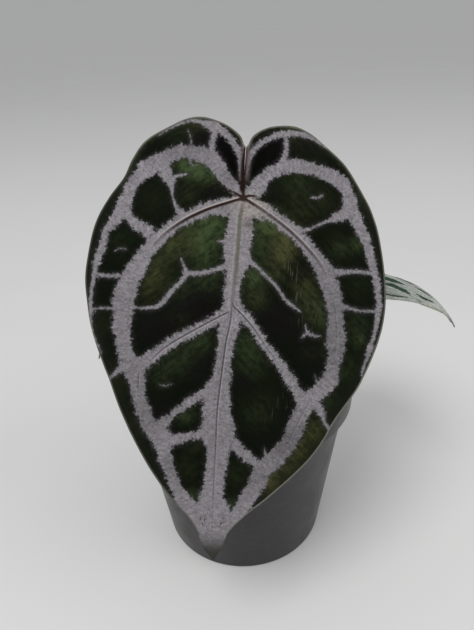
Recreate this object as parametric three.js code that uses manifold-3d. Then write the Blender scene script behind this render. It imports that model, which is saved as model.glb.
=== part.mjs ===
// A potted velvet-leaved anthurium. A large heart-shaped blade faces the front and hangs over the pot's
// rim, a second blade reaches out to the right behind it and a small older one to the left. Each blade
// has its own stalk on a short stem with aerial roots and papery bracts, in a plain nursery pot.
// Millimetres, +Z up. The origin is the centre of the pot's underside and the front blade faces -Y.
import * as THREE from 'three';
import { mergeVertices } from 'three/addons/utils/BufferGeometryUtils.js';
import loadManifold from 'manifold-3d';

const wasm = await loadManifold();
wasm.setup();

// Gap between pieces that touch
const GAP = 0.3;

// Pot
const POT_HEIGHT = 100;
const POT_RIM_RADIUS = 60;
const POT_BASE_RADIUS = 44;
const POT_WALL = 1.6;
const POT_FLOOR = 2.4;
const POT_BAND_HEIGHT = 14;
const POT_BAND_STEP = 2.2;
const POT_EDGE_ROUND = 1.2;
const POT_SIDES = 48;
const DRAIN_COUNT = 6;
const DRAIN_RADIUS = 4;
const DRAIN_RING_RADIUS = 29;

// Potting mix
const MIX_BELOW_RIM = 12;
const MIX_RINGS = 7;
const MIX_LUMP = 1.5;

// Stem, its aerial roots and its papery bracts
const STEM_AT = [0, 6];
const STEM_SIDES = 14;
const STEM_PROFILE = [
  [7.2, 72], [8.2, 84], [8.6, 91], [7.7, 92.5], [8.1, 97.5], [7.2, 99], [7.5, 104], [6.4, 106], [5.4, 110], [2.4, 113],
];
const ROOTS = [
  { turn: -160, leave: 90, reach: 25 },
  { turn: -98, leave: 94, reach: 23 },
  { turn: -22, leave: 89, reach: 27 },
  { turn: 118, leave: 93, reach: 24 },
];
const ROOT_DEPTH = 12;
const ROOT_RADIUS = 1.9;
const BRACTS = [
  { turn: -145, foot: 99.5, height: 25, flare: 5 },
  { turn: -79, foot: 100.5, height: 21, flare: 3 },
  { turn: -13, foot: 99.5, height: 16, flare: 6 },
];
const BRACT_SPREAD = 32;
const BRACT_THICKNESS = 0.7;

// The heart-shaped plan that all blades share, for a blade of full size: u runs across to the blade's
// right and v from the stalk to the tip. Each edge runs from the notch over its lobe to the tip.
const BLADE_LENGTH = 153.5;
const LEFT_EDGE = [
  [-0.5, -24], [-3, -29], [-10, -32], [-20, -33.5], [-30, -30.5], [-40, -23.5], [-45.5, -15], [-48.5, -7],
  [-54, 2.5], [-59, 15], [-61, 33], [-59, 47], [-55.5, 60], [-48, 77], [-41, 92], [-31, 109], [-20, 124],
  [-11.5, 133], [-5.5, 143], [0, BLADE_LENGTH],
];
const RIGHT_EDGE = [
  [0.5, -24], [3, -29.5], [10, -32.5], [20, -33], [29, -30], [39, -22.5], [47, -13.5], [54.5, -2.5],
  [60, 14], [63.5, 32], [63, 46], [59.5, 60], [54, 74], [46, 86.5], [41.5, 95.5], [35, 105.5], [21.5, 120],
  [11, 131], [4.5, 140], [0, BLADE_LENGTH],
];

// Veins in the same plan, with the radius of the rib that each raises on the blade's back. The rank is
// 0 for the midrib and the arches, 1 for the side veins and 2 for the cross veins.
const VEINS = [
  { rank: 0, rib: 2, line: [[0, 0], [-1.5, 10], [-1, 30], [-1.5, 50], [-3, 65], [-3.5, 90], [-3.5, 106], [-2.5, 125], [-0.5, 148]] },
  { rank: 0, rib: 1.5, line: [[0, 0], [-14, 6], [-28, 15], [-37, 25], [-43, 39], [-44.5, 55], [-42, 70], [-36, 80], [-31, 91], [-24, 101], [-16, 122], [-7, 135]] },
  { rank: 0, rib: 1.5, line: [[0, 0], [11, 5], [24, 13], [31, 21], [37, 32], [41, 45], [43, 58], [41, 70], [31, 84], [28, 95], [17, 109], [9, 127]] },
  { rank: 0, rib: 1.4, line: [[0, 0], [-6, -5], [-15, -15.5], [-24, -18], [-33, -15], [-40, -10.5], [-46, -3], [-50, 9], [-56, 26], [-58, 40], [-56, 54]] },
  { rank: 0, rib: 1.4, line: [[0, 0], [4, -5], [12, -12], [21, -16], [30, -16], [40, -12], [46, -5], [49, 4], [55, 18], [60, 35], [59, 52]] },
  { rank: 1, rib: 0.8, line: [[-3, -12], [-3.5, -22], [-10, -28.5], [-18, -30.5], [-29, -28]] },
  { rank: 1, rib: 0.8, line: [[3, -12], [4, -23], [10, -27.5], [20, -29.5], [30, -27]] },
  { rank: 1, rib: 0.9, line: [[-1, 42], [9, 52], [20, 66], [31, 82]] },
  { rank: 1, rib: 0.9, line: [[-1.5, 44], [-12, 52], [-21, 57], [-29, 64], [-38, 75]] },
  { rank: 1, rib: 0.7, line: [[-1, 27], [-14, 31], [-20, 32], [-26, 40], [-32, 46], [-43, 47]] },
  { rank: 1, rib: 0.7, line: [[-1, 21], [7, 26.5], [15, 34], [25, 43]] },
  { rank: 1, rib: 0.8, line: [[-3, 72], [-10, 78], [-21, 87], [-28, 95]] },
  { rank: 1, rib: 0.8, line: [[-3.5, 92], [5, 98], [17, 109]] },
  { rank: 1, rib: 0.7, line: [[-3.5, 91], [-11, 94.5], [-25, 99]] },
  { rank: 2, rib: 0.6, line: [[-50, 8], [-36, 17], [-34, 20]] },
  { rank: 2, rib: 0.6, line: [[-33, -14], [-28.5, -2], [-23, 9]] },
  { rank: 2, rib: 0.6, line: [[24, 12], [38, 5], [49, 4]] },
  { rank: 2, rib: 0.6, line: [[36, 26], [45, 26], [57, 24]] },
];

// Relief of a blade of full size
const SINUS_DEPTH = 5;
const SINUS_WIDTH = 7;
const SINUS_RISE = 12;
const PUFF_HEIGHT = 1.4;
const PUFF_WIDTH = 6;
const PUFF_FADE = 9;
const WAVE_HEIGHT = 0.5;
const WAVE_REACH = 16;
const WAVE_COUNT = 11;
const WAVE_START = 4.8;

// Blades: the seat is where the stalk meets the blade. Heading, roll, pitch, bend and droop are degrees;
// the pitch is how far the blade slopes down at its seat, the bend is added evenly along it and the
// droop near its tip. Curl is the radius across it, and stalk points from the seat into the stalk.
const FRONT = {
  name: 'leaf_front', scale: 1, seat: [4.2, -30, 199.4], heading: 0, roll: 7.4, pitch: 55, bend: 26.4, droop: 0,
  curl: 170, thickness: 0.8, columns: 34, rings: 8, ranks: 2, seatRadius: 3, stalk: [0, 0.72, -0.7],
};
const RIGHT = {
  name: 'leaf_right', scale: 0.617, seat: [34.3, 40, 147.1], heading: 70, roll: 12.5, pitch: 12, bend: -9.3, droop: 61,
  curl: 110, thickness: 0.8, columns: 20, rings: 6, ranks: 0, seatRadius: 2.5, stalk: [-0.3, -0.25, -0.92],
};
const LEFT = {
  name: 'leaf_left', scale: 0.387, seat: [-31, 32, 130], heading: -66.7, roll: -5, pitch: 14.4, bend: 10, droop: 48,
  curl: 80, thickness: 0.8, columns: 15, rings: 5, ranks: 0, seatRadius: 2.1, stalk: [0.25, -0.35, -0.9],
};
const SEAT_HEIGHT = 4.2;

// Stalks: points between the stem and the seat, then the radius along the way from stem to blade
const STALK_SIDES = 9;
const STALKS = [
  { name: 'petiole_front', blade: FRONT, way: [[0, 7, 106], [-1, 15, 124], [-2, 17, 148], [0, 9, 172]], radii: [4.2, 3, 2.6, 2.5, 2.5, 2.9, 3] },
  { name: 'petiole_right', blade: RIGHT, way: [[3, 9, 102], [13, 20, 112], [23, 30, 126]], radii: [3.6, 2.6, 2.1, 2.1, 2.4] },
  { name: 'petiole_left', blade: LEFT, way: [[-3, 8, 98], [-13, 15, 105], [-24, 25, 115]], radii: [3.2, 2.2, 1.8, 1.8, 2] },
];

// Colours
const POT_BLACK = new THREE.MeshStandardMaterial({ color: 0x141415, roughness: 0.55 });
const MIX_BROWN = new THREE.MeshStandardMaterial({ color: 0x2b1f17, roughness: 0.95 });
const STEM_GREEN = new THREE.MeshStandardMaterial({ color: 0x3d4326, roughness: 0.7 });
const ROOT_TAN = new THREE.MeshStandardMaterial({ color: 0x6b563c, roughness: 0.85 });
const BRACT_BROWN = new THREE.MeshStandardMaterial({ color: 0x5a3a24, roughness: 0.8 });
const STALK_GREEN = new THREE.MeshStandardMaterial({ color: 0x4a4a2c, roughness: 0.6 });
const BLADE_GREEN = new THREE.MeshStandardMaterial({ color: 0x4b5146, roughness: 0.7 });

function solidOf(geometry) {
  for (const name of ['normal', 'uv']) {
    geometry.deleteAttribute(name);
  }
  const merged = mergeVertices(geometry, 1e-4);
  const index = merged.index.array;
  const triangles = [];
  for (let i = 0; i < index.length; i += 3) {
    const [a, b, c] = index.slice(i, i + 3);
    if (a !== b && b !== c && c !== a) {
      triangles.push(a, b, c);
    }
  }
  const vertProperties = Float32Array.from(merged.attributes.position.array);
  const triVerts = Uint32Array.from(triangles);
  return new wasm.Manifold(new wasm.Mesh({ numProp: 3, vertProperties, triVerts }));
}

function meshOf(name, solid, material) {
  const { vertProperties, triVerts } = solid.getMesh();
  const geometry = new THREE.BufferGeometry();
  geometry.setAttribute('position', new THREE.BufferAttribute(vertProperties, 3));
  geometry.setIndex(new THREE.BufferAttribute(triVerts, 1));
  geometry.computeVertexNormals();
  const mesh = new THREE.Mesh(geometry, material);
  mesh.name = name;
  return mesh;
}

// A body turned round a vertical axis from a profile of radius and height
function turned(profile, sides) {
  const geometry = new THREE.LatheGeometry(profile.map(([r, z]) => new THREE.Vector2(r, z)), sides);
  geometry.rotateX(Math.PI / 2);
  return geometry;
}

// Value at a fraction of the way along a list of evenly spaced values
function along(values, fraction) {
  const at = fraction * (values.length - 1);
  const low = Math.min(Math.floor(at), values.length - 2);
  return THREE.MathUtils.lerp(values[low], values[low + 1], at - low);
}

// A rod along a smooth path, with its radius given from end to end
function rod(points, radii, sides, step) {
  const path = new THREE.CatmullRomCurve3(points);
  const steps = Math.max(3, Math.round(path.getLength() / step));
  const corners = Array.from({ length: sides }, (_, i) => {
    const angle = (2 * Math.PI * i) / sides;
    return new THREE.Vector2(Math.cos(angle), Math.sin(angle));
  });
  const settings = { steps, bevelEnabled: false, extrudePath: path };
  const geometry = new THREE.ExtrudeGeometry(new THREE.Shape(corners), settings);
  const stations = path.getSpacedPoints(steps);
  const position = geometry.attributes.position;
  const vertex = new THREE.Vector3();
  for (let i = 0; i < position.count; i += 1) {
    vertex.fromBufferAttribute(position, i);
    const distances = stations.map((station) => station.distanceTo(vertex));
    const nearest = distances.indexOf(Math.min(...distances));
    const centre = stations[nearest];
    vertex.sub(centre).multiplyScalar(along(radii, nearest / steps)).add(centre);
    position.setXYZ(i, vertex.x, vertex.y, vertex.z);
  }
  return geometry;
}

function vectors(list) {
  return list.map((point) => new THREE.Vector3(...point));
}

function radians(degrees) {
  return THREE.MathUtils.degToRad(degrees);
}

// Pot
const potOuterAt = (z) => POT_BASE_RADIUS + ((POT_RIM_RADIUS - POT_BAND_STEP - POT_BASE_RADIUS) * z) / POT_HEIGHT;
const potInnerAt = (z) => potOuterAt(z) - POT_WALL;

function buildPot() {
  const bandFoot = POT_HEIGHT - POT_BAND_HEIGHT;
  const round = POT_EDGE_ROUND;
  const profile = [
    [0, 0],
    [POT_BASE_RADIUS - round, 0],
    [potOuterAt(round), round],
    [potOuterAt(bandFoot - 1), bandFoot - 1],
    [POT_RIM_RADIUS - 0.8, bandFoot],
    [POT_RIM_RADIUS, POT_HEIGHT - round],
    [POT_RIM_RADIUS - round / 2, POT_HEIGHT],
    [potInnerAt(POT_HEIGHT) + round / 2, POT_HEIGHT],
    [potInnerAt(POT_HEIGHT - round), POT_HEIGHT - round],
    [potInnerAt(POT_FLOOR), POT_FLOOR],
    [0, POT_FLOOR],
  ];
  let pot = solidOf(turned(profile, POT_SIDES));
  for (let i = 0; i < DRAIN_COUNT; i += 1) {
    const hole = new THREE.CylinderGeometry(DRAIN_RADIUS, DRAIN_RADIUS, 4 * POT_FLOOR, 12);
    hole.rotateX(Math.PI / 2);
    hole.translate(DRAIN_RING_RADIUS, 0, 0);
    hole.rotateZ((2 * Math.PI * i) / DRAIN_COUNT);
    pot = pot.subtract(solidOf(hole));
  }
  return pot;
}

// Stem and roots. The room is added all round, to cut a clear seat for them in their neighbours.
function buildStem(room = 0) {
  const foot = STEM_PROFILE[0][1] - room;
  const top = STEM_PROFILE.at(-1)[1] + room;
  const flank = STEM_PROFILE.map(([r, z]) => [r + room, z]);
  flank[0][1] = foot;
  flank.at(-1)[1] = top;
  const geometry = turned([[0, foot], ...flank, [0, top]], STEM_SIDES);
  geometry.translate(STEM_AT[0], STEM_AT[1], 0);
  return solidOf(geometry);
}

const MIX_TOP = POT_HEIGHT - MIX_BELOW_RIM;

function buildRoot(root, room = 0) {
  const turn = radians(root.turn);
  const deep = MIX_TOP - ROOT_DEPTH - room;
  const stops = [
    [0, root.leave],
    [11, root.leave + 0.5],
    [root.reach - 7, MIX_TOP + 2],
    [root.reach - 2, MIX_TOP - 5],
    [root.reach, deep],
  ];
  const points = stops.map(([r, z]) => [STEM_AT[0] + r * Math.cos(turn), STEM_AT[1] + r * Math.sin(turn), z]);
  const radius = ROOT_RADIUS + room;
  return solidOf(rod(vectors(points), [radius, radius, 0.85 * ROOT_RADIUS + room], 7, 4));
}

// Potting mix with a lumpy top
function mixHeight(x, y) {
  const broad = Math.sin(x / 7 + 1) * Math.cos(y / 8 - 0.6);
  const fine = Math.sin(x / 3.1 - y / 4.3) * Math.sin(y / 3.7 + 2);
  return MIX_TOP + MIX_LUMP * (broad + 0.6 * fine);
}

function buildMix() {
  const side = (z) => potInnerAt(z) - GAP;
  const foot = POT_FLOOR + GAP;
  const profile = [[0, foot], [side(foot) - 1, foot], [side(foot + 1), foot + 1], [side(MIX_TOP - 6), MIX_TOP - 6]];
  for (let ring = MIX_RINGS; ring >= 0; ring -= 1) {
    profile.push([(side(MIX_TOP) - 0.5) * (ring / MIX_RINGS), MIX_TOP]);
  }
  const geometry = turned(profile, POT_SIDES);
  const position = geometry.attributes.position;
  for (let i = 0; i < position.count; i += 1) {
    if (position.getZ(i) > MIX_TOP - 0.1) {
      position.setZ(i, mixHeight(position.getX(i), position.getY(i)));
    }
  }
  let mix = solidOf(geometry).subtract(buildStem(GAP));
  for (const root of ROOTS) {
    mix = mix.subtract(buildRoot(root, GAP));
  }
  return mix;
}

// A sheet of points with their normals and triangles, made into a closed solid below the sheet
function thicken(points, normals, triangles, thickness) {
  const count = points.length;
  const all = [...points, ...points.map((point, i) => point.clone().addScaledVector(normals[i], -thickness))];
  const index = [];
  const edges = new Set();
  for (const [a, b, c] of triangles) {
    index.push(a, b, c, a + count, c + count, b + count);
    for (const [from, to] of [[a, b], [b, c], [c, a]]) {
      edges.add(`${from} ${to}`);
    }
  }
  for (const edge of edges) {
    const [from, to] = edge.split(' ').map(Number);
    if (!edges.has(`${to} ${from}`)) {
      index.push(to, from, from + count, to, from + count, to + count);
    }
  }
  const geometry = new THREE.BufferGeometry().setFromPoints(all);
  geometry.setIndex(index);
  return solidOf(geometry);
}

// Papery bract: a pointed shield that wraps part of the stem and flares out at its tip
function buildBract(bract) {
  const across = 6;
  const up = 6;
  const stemAt = (z) => {
    const above = STEM_PROFILE.findIndex(([, height]) => height > z);
    const [[r0, z0], [r1, z1]] = [STEM_PROFILE[above - 1], STEM_PROFILE[above]];
    return THREE.MathUtils.mapLinear(z, z0, z1, r0, r1);
  };
  const footRadius = stemAt(bract.foot) + GAP + BRACT_THICKNESS + 0.2;
  const points = [];
  const normals = [];
  for (let row = 0; row <= up; row += 1) {
    const rise = row / up;
    const spread = BRACT_SPREAD * Math.sqrt(1 - 0.92 * rise);
    for (let column = 0; column <= across; column += 1) {
      const turn = radians(bract.turn + spread * (1 - (2 * column) / across));
      const radius = footRadius + bract.flare * rise ** 2;
      const out = new THREE.Vector3(Math.cos(turn), Math.sin(turn), 0);
      points.push(new THREE.Vector3(...STEM_AT, bract.foot + bract.height * rise).addScaledVector(out, radius));
      normals.push(out);
    }
  }
  const triangles = [];
  for (let row = 0; row < up; row += 1) {
    for (let column = 0; column < across; column += 1) {
      const a = row * (across + 1) + column;
      const b = a + across + 1;
      triangles.push([a, b, a + 1], [a + 1, b, b + 1]);
    }
  }
  return thicken(points, normals, triangles, BRACT_THICKNESS);
}

// Plan of the blade
function planCurve(line) {
  return new THREE.CatmullRomCurve3(line.map(([u, v]) => new THREE.Vector3(u, v, 0)), false, 'catmullrom', 0.5);
}

const EDGE_POINTS = [LEFT_EDGE, RIGHT_EDGE].map((edge) => planCurve(edge).getSpacedPoints(60));
const VEIN_POINTS = VEINS.filter((vein) => vein.rank < 2).map((vein) => planCurve(vein.line).getSpacedPoints(20));

function distanceTo(lines, u, v) {
  const point = new THREE.Vector3(u, v, 0);
  const piece = new THREE.Line3();
  const foot = new THREE.Vector3();
  let nearest = Infinity;
  for (const line of lines) {
    for (let i = 1; i < line.length; i += 1) {
      piece.set(line[i - 1], line[i]).closestPointToPoint(point, true, foot);
      nearest = Math.min(nearest, foot.distanceTo(point));
    }
  }
  return nearest;
}

// Height of the relief at a place in the plan: the valley between the lobes, the puffed cells between
// the veins, which flatten toward the edge, and the gentle waves along the edge
function relief(u, v) {
  const toEdge = distanceTo(EDGE_POINTS, u, v);
  const valley = SINUS_DEPTH * Math.exp(-((u / SINUS_WIDTH) ** 2)) * THREE.MathUtils.smoothstep(-v, 0, SINUS_RISE);
  const inside = THREE.MathUtils.smoothstep(toEdge, 0, PUFF_FADE);
  const puff = PUFF_HEIGHT * inside * (1 - Math.exp(-((distanceTo(VEIN_POINTS, u, v) / PUFF_WIDTH) ** 2)));
  const margin = Math.max(0, 1 - toEdge / WAVE_REACH) ** 2;
  const wave = WAVE_HEIGHT * margin * Math.sin(WAVE_COUNT * Math.atan2(u, v) + WAVE_START);
  return puff + wave - valley;
}

// The line down the middle of a blade, as points 1 mm apart with the slope at each
function spineOf(blade) {
  const length = BLADE_LENGTH * blade.scale;
  const back = Math.ceil(0.25 * length);
  const slopeAt = (v) => radians(blade.pitch + (blade.bend * v) / length + blade.droop * Math.max(0, v / length) ** 4);
  const walk = (direction, count) => {
    const points = [new THREE.Vector3()];
    for (let i = 0; i < count; i += 1) {
      const slope = slopeAt(direction * (i + 0.5));
      const step = new THREE.Vector3(0, -Math.cos(slope), -Math.sin(slope)).multiplyScalar(direction);
      points.push(points.at(-1).clone().add(step));
    }
    return points;
  };
  const points = [...walk(-1, back).reverse().slice(0, -1), ...walk(1, Math.ceil(length) + 2)];
  return { slopeAt, at: (v) => points[Math.floor(v) + back].clone().lerp(points[Math.floor(v) + back + 1], v - Math.floor(v)) };
}

// Maps a place in the plan, and a depth below the face, to the blade's own frame
function placer(blade) {
  const spine = spineOf(blade);
  const surface = (u, v) => {
    const across = u * blade.scale;
    const down = v * blade.scale;
    const slope = spine.slopeAt(down);
    const up = new THREE.Vector3(0, -Math.sin(slope), Math.cos(slope));
    const height = blade.scale * relief(u, v) - across ** 2 / (2 * blade.curl);
    return spine.at(down).addScaledVector(up, height).add(new THREE.Vector3(across, 0, 0));
  };
  const normal = (u, v) => {
    const step = 0.8;
    const right = surface(u + step, v).sub(surface(u - step, v));
    const ahead = surface(u, v + step).sub(surface(u, v - step));
    return ahead.cross(right).normalize();
  };
  return { surface, normal };
}

// Grid of the blade's plan: rings of points round the seat, with the notch left open
function bladeSheet(blade, place) {
  const [left, right] = [LEFT_EDGE, RIGHT_EDGE].map((edge) => planCurve(edge).getSpacedPoints(blade.columns));
  const rim = [...left, ...right.slice(0, -1).reverse()];
  const plan = [[0, 0]];
  const ring = (number, column) => {
    if (number === 1) {
      return 1 + (column % (rim.length - 1));
    }
    return rim.length + (number - 2) * rim.length + column;
  };
  for (let number = 1; number <= blade.rings; number += 1) {
    const fraction = number / blade.rings;
    const used = number === 1 ? rim.length - 1 : rim.length;
    for (const point of rim.slice(0, used)) {
      const closed = number === 1 && point.x === rim[0].x;
      plan.push([closed ? 0 : point.x * fraction, point.y * fraction]);
    }
  }
  const triangles = [];
  for (let column = 0; column + 1 < rim.length; column += 1) {
    triangles.push([0, ring(1, column), ring(1, column + 1)]);
    for (let number = 1; number < blade.rings; number += 1) {
      const [a, b] = [ring(number, column), ring(number, column + 1)];
      const [c, d] = [ring(number + 1, column), ring(number + 1, column + 1)];
      triangles.push([a, c, d], [a, d, b]);
    }
  }
  const points = plan.map(([u, v]) => place.surface(u, v));
  const normals = plan.map(([u, v]) => place.normal(u, v));
  return thicken(points, normals, triangles, blade.thickness);
}

// Matrix from a blade's own frame to the part
function bladeFrame(blade) {
  const turn = new THREE.Euler(0, radians(blade.roll), radians(blade.heading), 'ZYX');
  const frame = new THREE.Matrix4().makeRotationFromEuler(turn);
  return frame.setPosition(...blade.seat);
}

// The stalk's direction at the seat, in the blade's own frame
function stalkDirection(blade) {
  return new THREE.Vector3(...blade.stalk).transformDirection(bladeFrame(blade).invert());
}

function buildRib(blade, place, vein) {
  const thickest = vein.rib * (0.4 + 0.6 * blade.scale);
  const sunk = 0.6 * blade.thickness;
  const path = planCurve(vein.line);
  const count = Math.max(3, Math.round((path.getLength() * blade.scale) / 9));
  const points = path.getSpacedPoints(count).map(({ x: u, y: v }, i) => {
    const radius = thickest * (1 - (0.7 * i) / count);
    return place.surface(u, v).addScaledVector(place.normal(u, v), -sunk - 0.7 * radius);
  });
  return solidOf(rod(points, [thickest, 0.65 * thickest, 0.3 * thickest], vein.rank === 0 ? 5 : 4, 9));
}

function buildBlade(blade) {
  const place = placer(blade);
  let solid = bladeSheet(blade, place);
  const direction = stalkDirection(blade);
  const inward = place.normal(0, 0).negate();
  const reach = blade.thickness + SEAT_HEIGHT;
  const seatWay = [
    inward.clone().multiplyScalar(0.5 * blade.thickness),
    inward.clone().multiplyScalar(0.35 * reach),
    direction.clone().multiplyScalar(0.7 * reach),
    direction.clone().multiplyScalar(reach),
  ];
  solid = solid.add(solidOf(rod(seatWay, [blade.seatRadius, blade.seatRadius], STALK_SIDES, 2)));
  for (const vein of VEINS.filter(({ rank }) => rank <= blade.ranks)) {
    solid = solid.add(buildRib(blade, place, vein));
  }
  return solid;
}

function buildStalk(stalk) {
  const frame = bladeFrame(stalk.blade);
  const direction = stalkDirection(stalk.blade);
  const reach = stalk.blade.thickness + SEAT_HEIGHT + GAP;
  const end = direction.clone().multiplyScalar(reach).applyMatrix4(frame);
  const neck = direction.clone().multiplyScalar(reach + 8).applyMatrix4(frame);
  const points = [...vectors(stalk.way), neck, end];
  return solidOf(rod(points, stalk.radii, STALK_SIDES, 7)).subtract(buildStem(GAP));
}

// The whole plant in its pot
const plant = new THREE.Group();
plant.add(meshOf('pot', buildPot(), POT_BLACK));
plant.add(meshOf('potting_mix', buildMix(), MIX_BROWN));
plant.add(meshOf('stem', buildStem(), STEM_GREEN));
ROOTS.forEach((root, i) => {
  plant.add(meshOf(`aerial_root_${i + 1}`, buildRoot(root).subtract(buildStem(GAP)), ROOT_TAN));
});
BRACTS.forEach((bract, i) => {
  plant.add(meshOf(`bract_${i + 1}`, buildBract(bract), BRACT_BROWN));
});
for (const stalk of STALKS) {
  plant.add(meshOf(stalk.name, buildStalk(stalk), STALK_GREEN));
}
for (const blade of [FRONT, RIGHT, LEFT]) {
  const mesh = meshOf(blade.name, buildBlade(blade), BLADE_GREEN);
  mesh.applyMatrix4(bladeFrame(blade));
  plant.add(mesh);
}

export default plant;
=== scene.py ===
import math

import bmesh
import bpy
import numpy as np
from bpy.props import FloatProperty, FloatVectorProperty, IntProperty, PointerProperty
from mathutils import Matrix, Quaternion, Vector, noise


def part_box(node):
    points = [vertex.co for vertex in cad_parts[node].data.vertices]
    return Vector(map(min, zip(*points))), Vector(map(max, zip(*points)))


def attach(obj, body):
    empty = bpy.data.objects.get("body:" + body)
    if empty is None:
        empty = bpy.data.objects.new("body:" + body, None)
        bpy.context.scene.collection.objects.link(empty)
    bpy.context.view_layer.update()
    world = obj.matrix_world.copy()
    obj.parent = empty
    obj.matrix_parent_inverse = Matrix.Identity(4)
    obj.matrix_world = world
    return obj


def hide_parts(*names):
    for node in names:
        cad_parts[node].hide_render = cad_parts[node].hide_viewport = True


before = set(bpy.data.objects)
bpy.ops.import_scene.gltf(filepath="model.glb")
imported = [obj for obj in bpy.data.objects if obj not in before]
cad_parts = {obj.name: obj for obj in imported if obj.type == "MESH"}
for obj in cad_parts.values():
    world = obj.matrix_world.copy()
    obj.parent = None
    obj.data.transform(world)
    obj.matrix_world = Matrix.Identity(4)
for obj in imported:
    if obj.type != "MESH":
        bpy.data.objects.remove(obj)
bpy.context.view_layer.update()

bl_info = {
    "name": "Potted Velvet Anthurium",
    "version": (1, 0, 0),
    "blender": (4, 5, 0),
    "location": "3D View > Sidebar > Plant",
    "description": "Dresses the packed model of a potted anthurium with its finished pieces",
    "category": "Object",
}

# Sizes are in millimetres, as in the part's source, and MM turns them into metres. Verts closer than
# SAME_PLACE are one.
MM = 0.001
SAME_PLACE = 1e-4
BODY = "root"

# Pot and potting mix. The taper is what the wall gains in radius over the pot's height.
POT_HEIGHT = 100
POT_FOOT = 44
POT_TAPER = 13.8
POT_FLOOR = 2.4
POT_LEDGE = 4.5
PLATE_BOTTOM = 0.9
PLATE_THICKNESS = 1.4
PLATE_OVERLAP = 0.5
POT_SIDES = 128
PLATE_SIDES = 96
POT_BAND_HEIGHT = 14
POT_BAND_REACH = 0.8
DRAIN_COUNT = 6
DRAIN_RADIUS = 4
DRAIN_SIDES = 24
DRAIN_RING_RADIUS = 29
MIX_TOP = 88
MIX_LUMP = 1.5
MIX_RINGS = 58
MIX_SIDES = 150
STEM_CLEARANCE = 11
GAP = 0.3

# Stem, roots and bracts
STEM_AT = (0, 6)
# Radius and height up the stem
STEM_PROFILE = [
    (7.2, 72), (8.2, 84), (8.6, 91), (7.7, 92.5), (8.1, 97.5), (7.2, 99), (7.5, 104), (6.4, 106), (5.4, 110),
    (2.4, 112.6),
]
# Heading in degrees, height where the root leaves the stem and how far out it reaches
ROOTS = {
    "aerial_root_1": (-160, 90, 25),
    "aerial_root_2": (-98, 94, 23),
    "aerial_root_3": (-22, 89, 27),
    "aerial_root_4": (118, 93, 24),
}
# Heading in degrees, height of the foot, length and how far the top leans out
BRACTS = {
    "bract_1": (-145, 99.5, 25, 5),
    "bract_2": (-79, 100.5, 21, 3),
    "bract_3": (-13, 99.5, 16, 6),
}
BRACT_SPREAD = 32

# The heart-shaped plan that the blades share, for a blade of full size: u runs across to the blade's
# right and v from the stalk to the tip. Each edge runs from the notch over its lobe to the tip.
BLADE_LENGTH = 153.5
LEFT_EDGE = [
    (-0.5, -24), (-3, -29), (-10, -32), (-20, -33.5), (-30, -30.5), (-40, -23.5), (-45.5, -15), (-48.5, -7),
    (-54, 2.5), (-59, 15), (-61, 33), (-59, 47), (-55.5, 60), (-48, 77), (-41, 92), (-31, 109), (-20, 124),
    (-11.5, 133), (-5.5, 143), (0, BLADE_LENGTH),
]
RIGHT_EDGE = [
    (0.5, -24), (3, -29.5), (10, -32.5), (20, -33), (29, -30), (39, -22.5), (47, -13.5), (54.5, -2.5),
    (60, 14), (63.5, 32), (63, 46), (59.5, 60), (54, 74), (46, 86.5), (41.5, 95.5), (35, 105.5), (21.5, 120),
    (11, 131), (4.5, 140), (0, BLADE_LENGTH),
]

# Veins that raise a rib on a blade's back: rank, radius of the rib and line in the plan. The cells
# between the first two ranks are puffed up.
RIBS = [
    (0, 2, [(0, 0), (-1.5, 10), (-1, 30), (-1.5, 50), (-3, 65), (-3.5, 90), (-3.5, 106), (-2.5, 125), (-0.5, 148)]),
    (0, 1.5, [(0, 0), (-14, 6), (-28, 15), (-37, 25), (-43, 39), (-44.5, 55), (-42, 70), (-36, 80), (-31, 91),
              (-24, 101), (-16, 122), (-7, 135)]),
    (0, 1.5, [(0, 0), (11, 5), (24, 13), (31, 21), (37, 32), (41, 45), (43, 58), (41, 70), (31, 84), (28, 95),
              (17, 109), (9, 127)]),
    (0, 1.4, [(0, 0), (-6, -5), (-15, -15.5), (-24, -18), (-33, -15), (-40, -10.5), (-46, -3), (-50, 9), (-56, 26),
              (-58, 40), (-56, 54)]),
    (0, 1.4, [(0, 0), (4, -5), (12, -12), (21, -16), (30, -16), (40, -12), (46, -5), (49, 4), (55, 18), (60, 35),
              (59, 52)]),
    (1, 0.8, [(-3, -12), (-3.5, -22), (-10, -28.5), (-18, -30.5), (-29, -28)]),
    (1, 0.8, [(3, -12), (4, -23), (10, -27.5), (20, -29.5), (30, -27)]),
    (1, 0.9, [(-1, 42), (9, 52), (20, 66), (31, 82)]),
    (1, 0.9, [(-1.5, 44), (-12, 52), (-21, 57), (-29, 64), (-38, 75)]),
    (1, 0.7, [(-1, 27), (-14, 31), (-20, 32), (-26, 40), (-32, 46), (-43, 47)]),
    (1, 0.7, [(-1, 21), (7, 26.5), (15, 34), (25, 43)]),
    (1, 0.8, [(-3, 72), (-10, 78), (-21, 87), (-28, 95)]),
    (1, 0.8, [(-3.5, 92), (5, 98), (17, 109)]),
    (1, 0.7, [(-3.5, 91), (-11, 94.5), (-25, 99)]),
    (2, 0.6, [(-50, 8), (-36, 17), (-34, 20)]),
    (2, 0.6, [(-33, -14), (-28.5, -2), (-23, 9)]),
    (2, 0.6, [(24, 12), (38, 5), (49, 4)]),
    (2, 0.6, [(36, 26), (45, 26), (57, 24)]),
]

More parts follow.
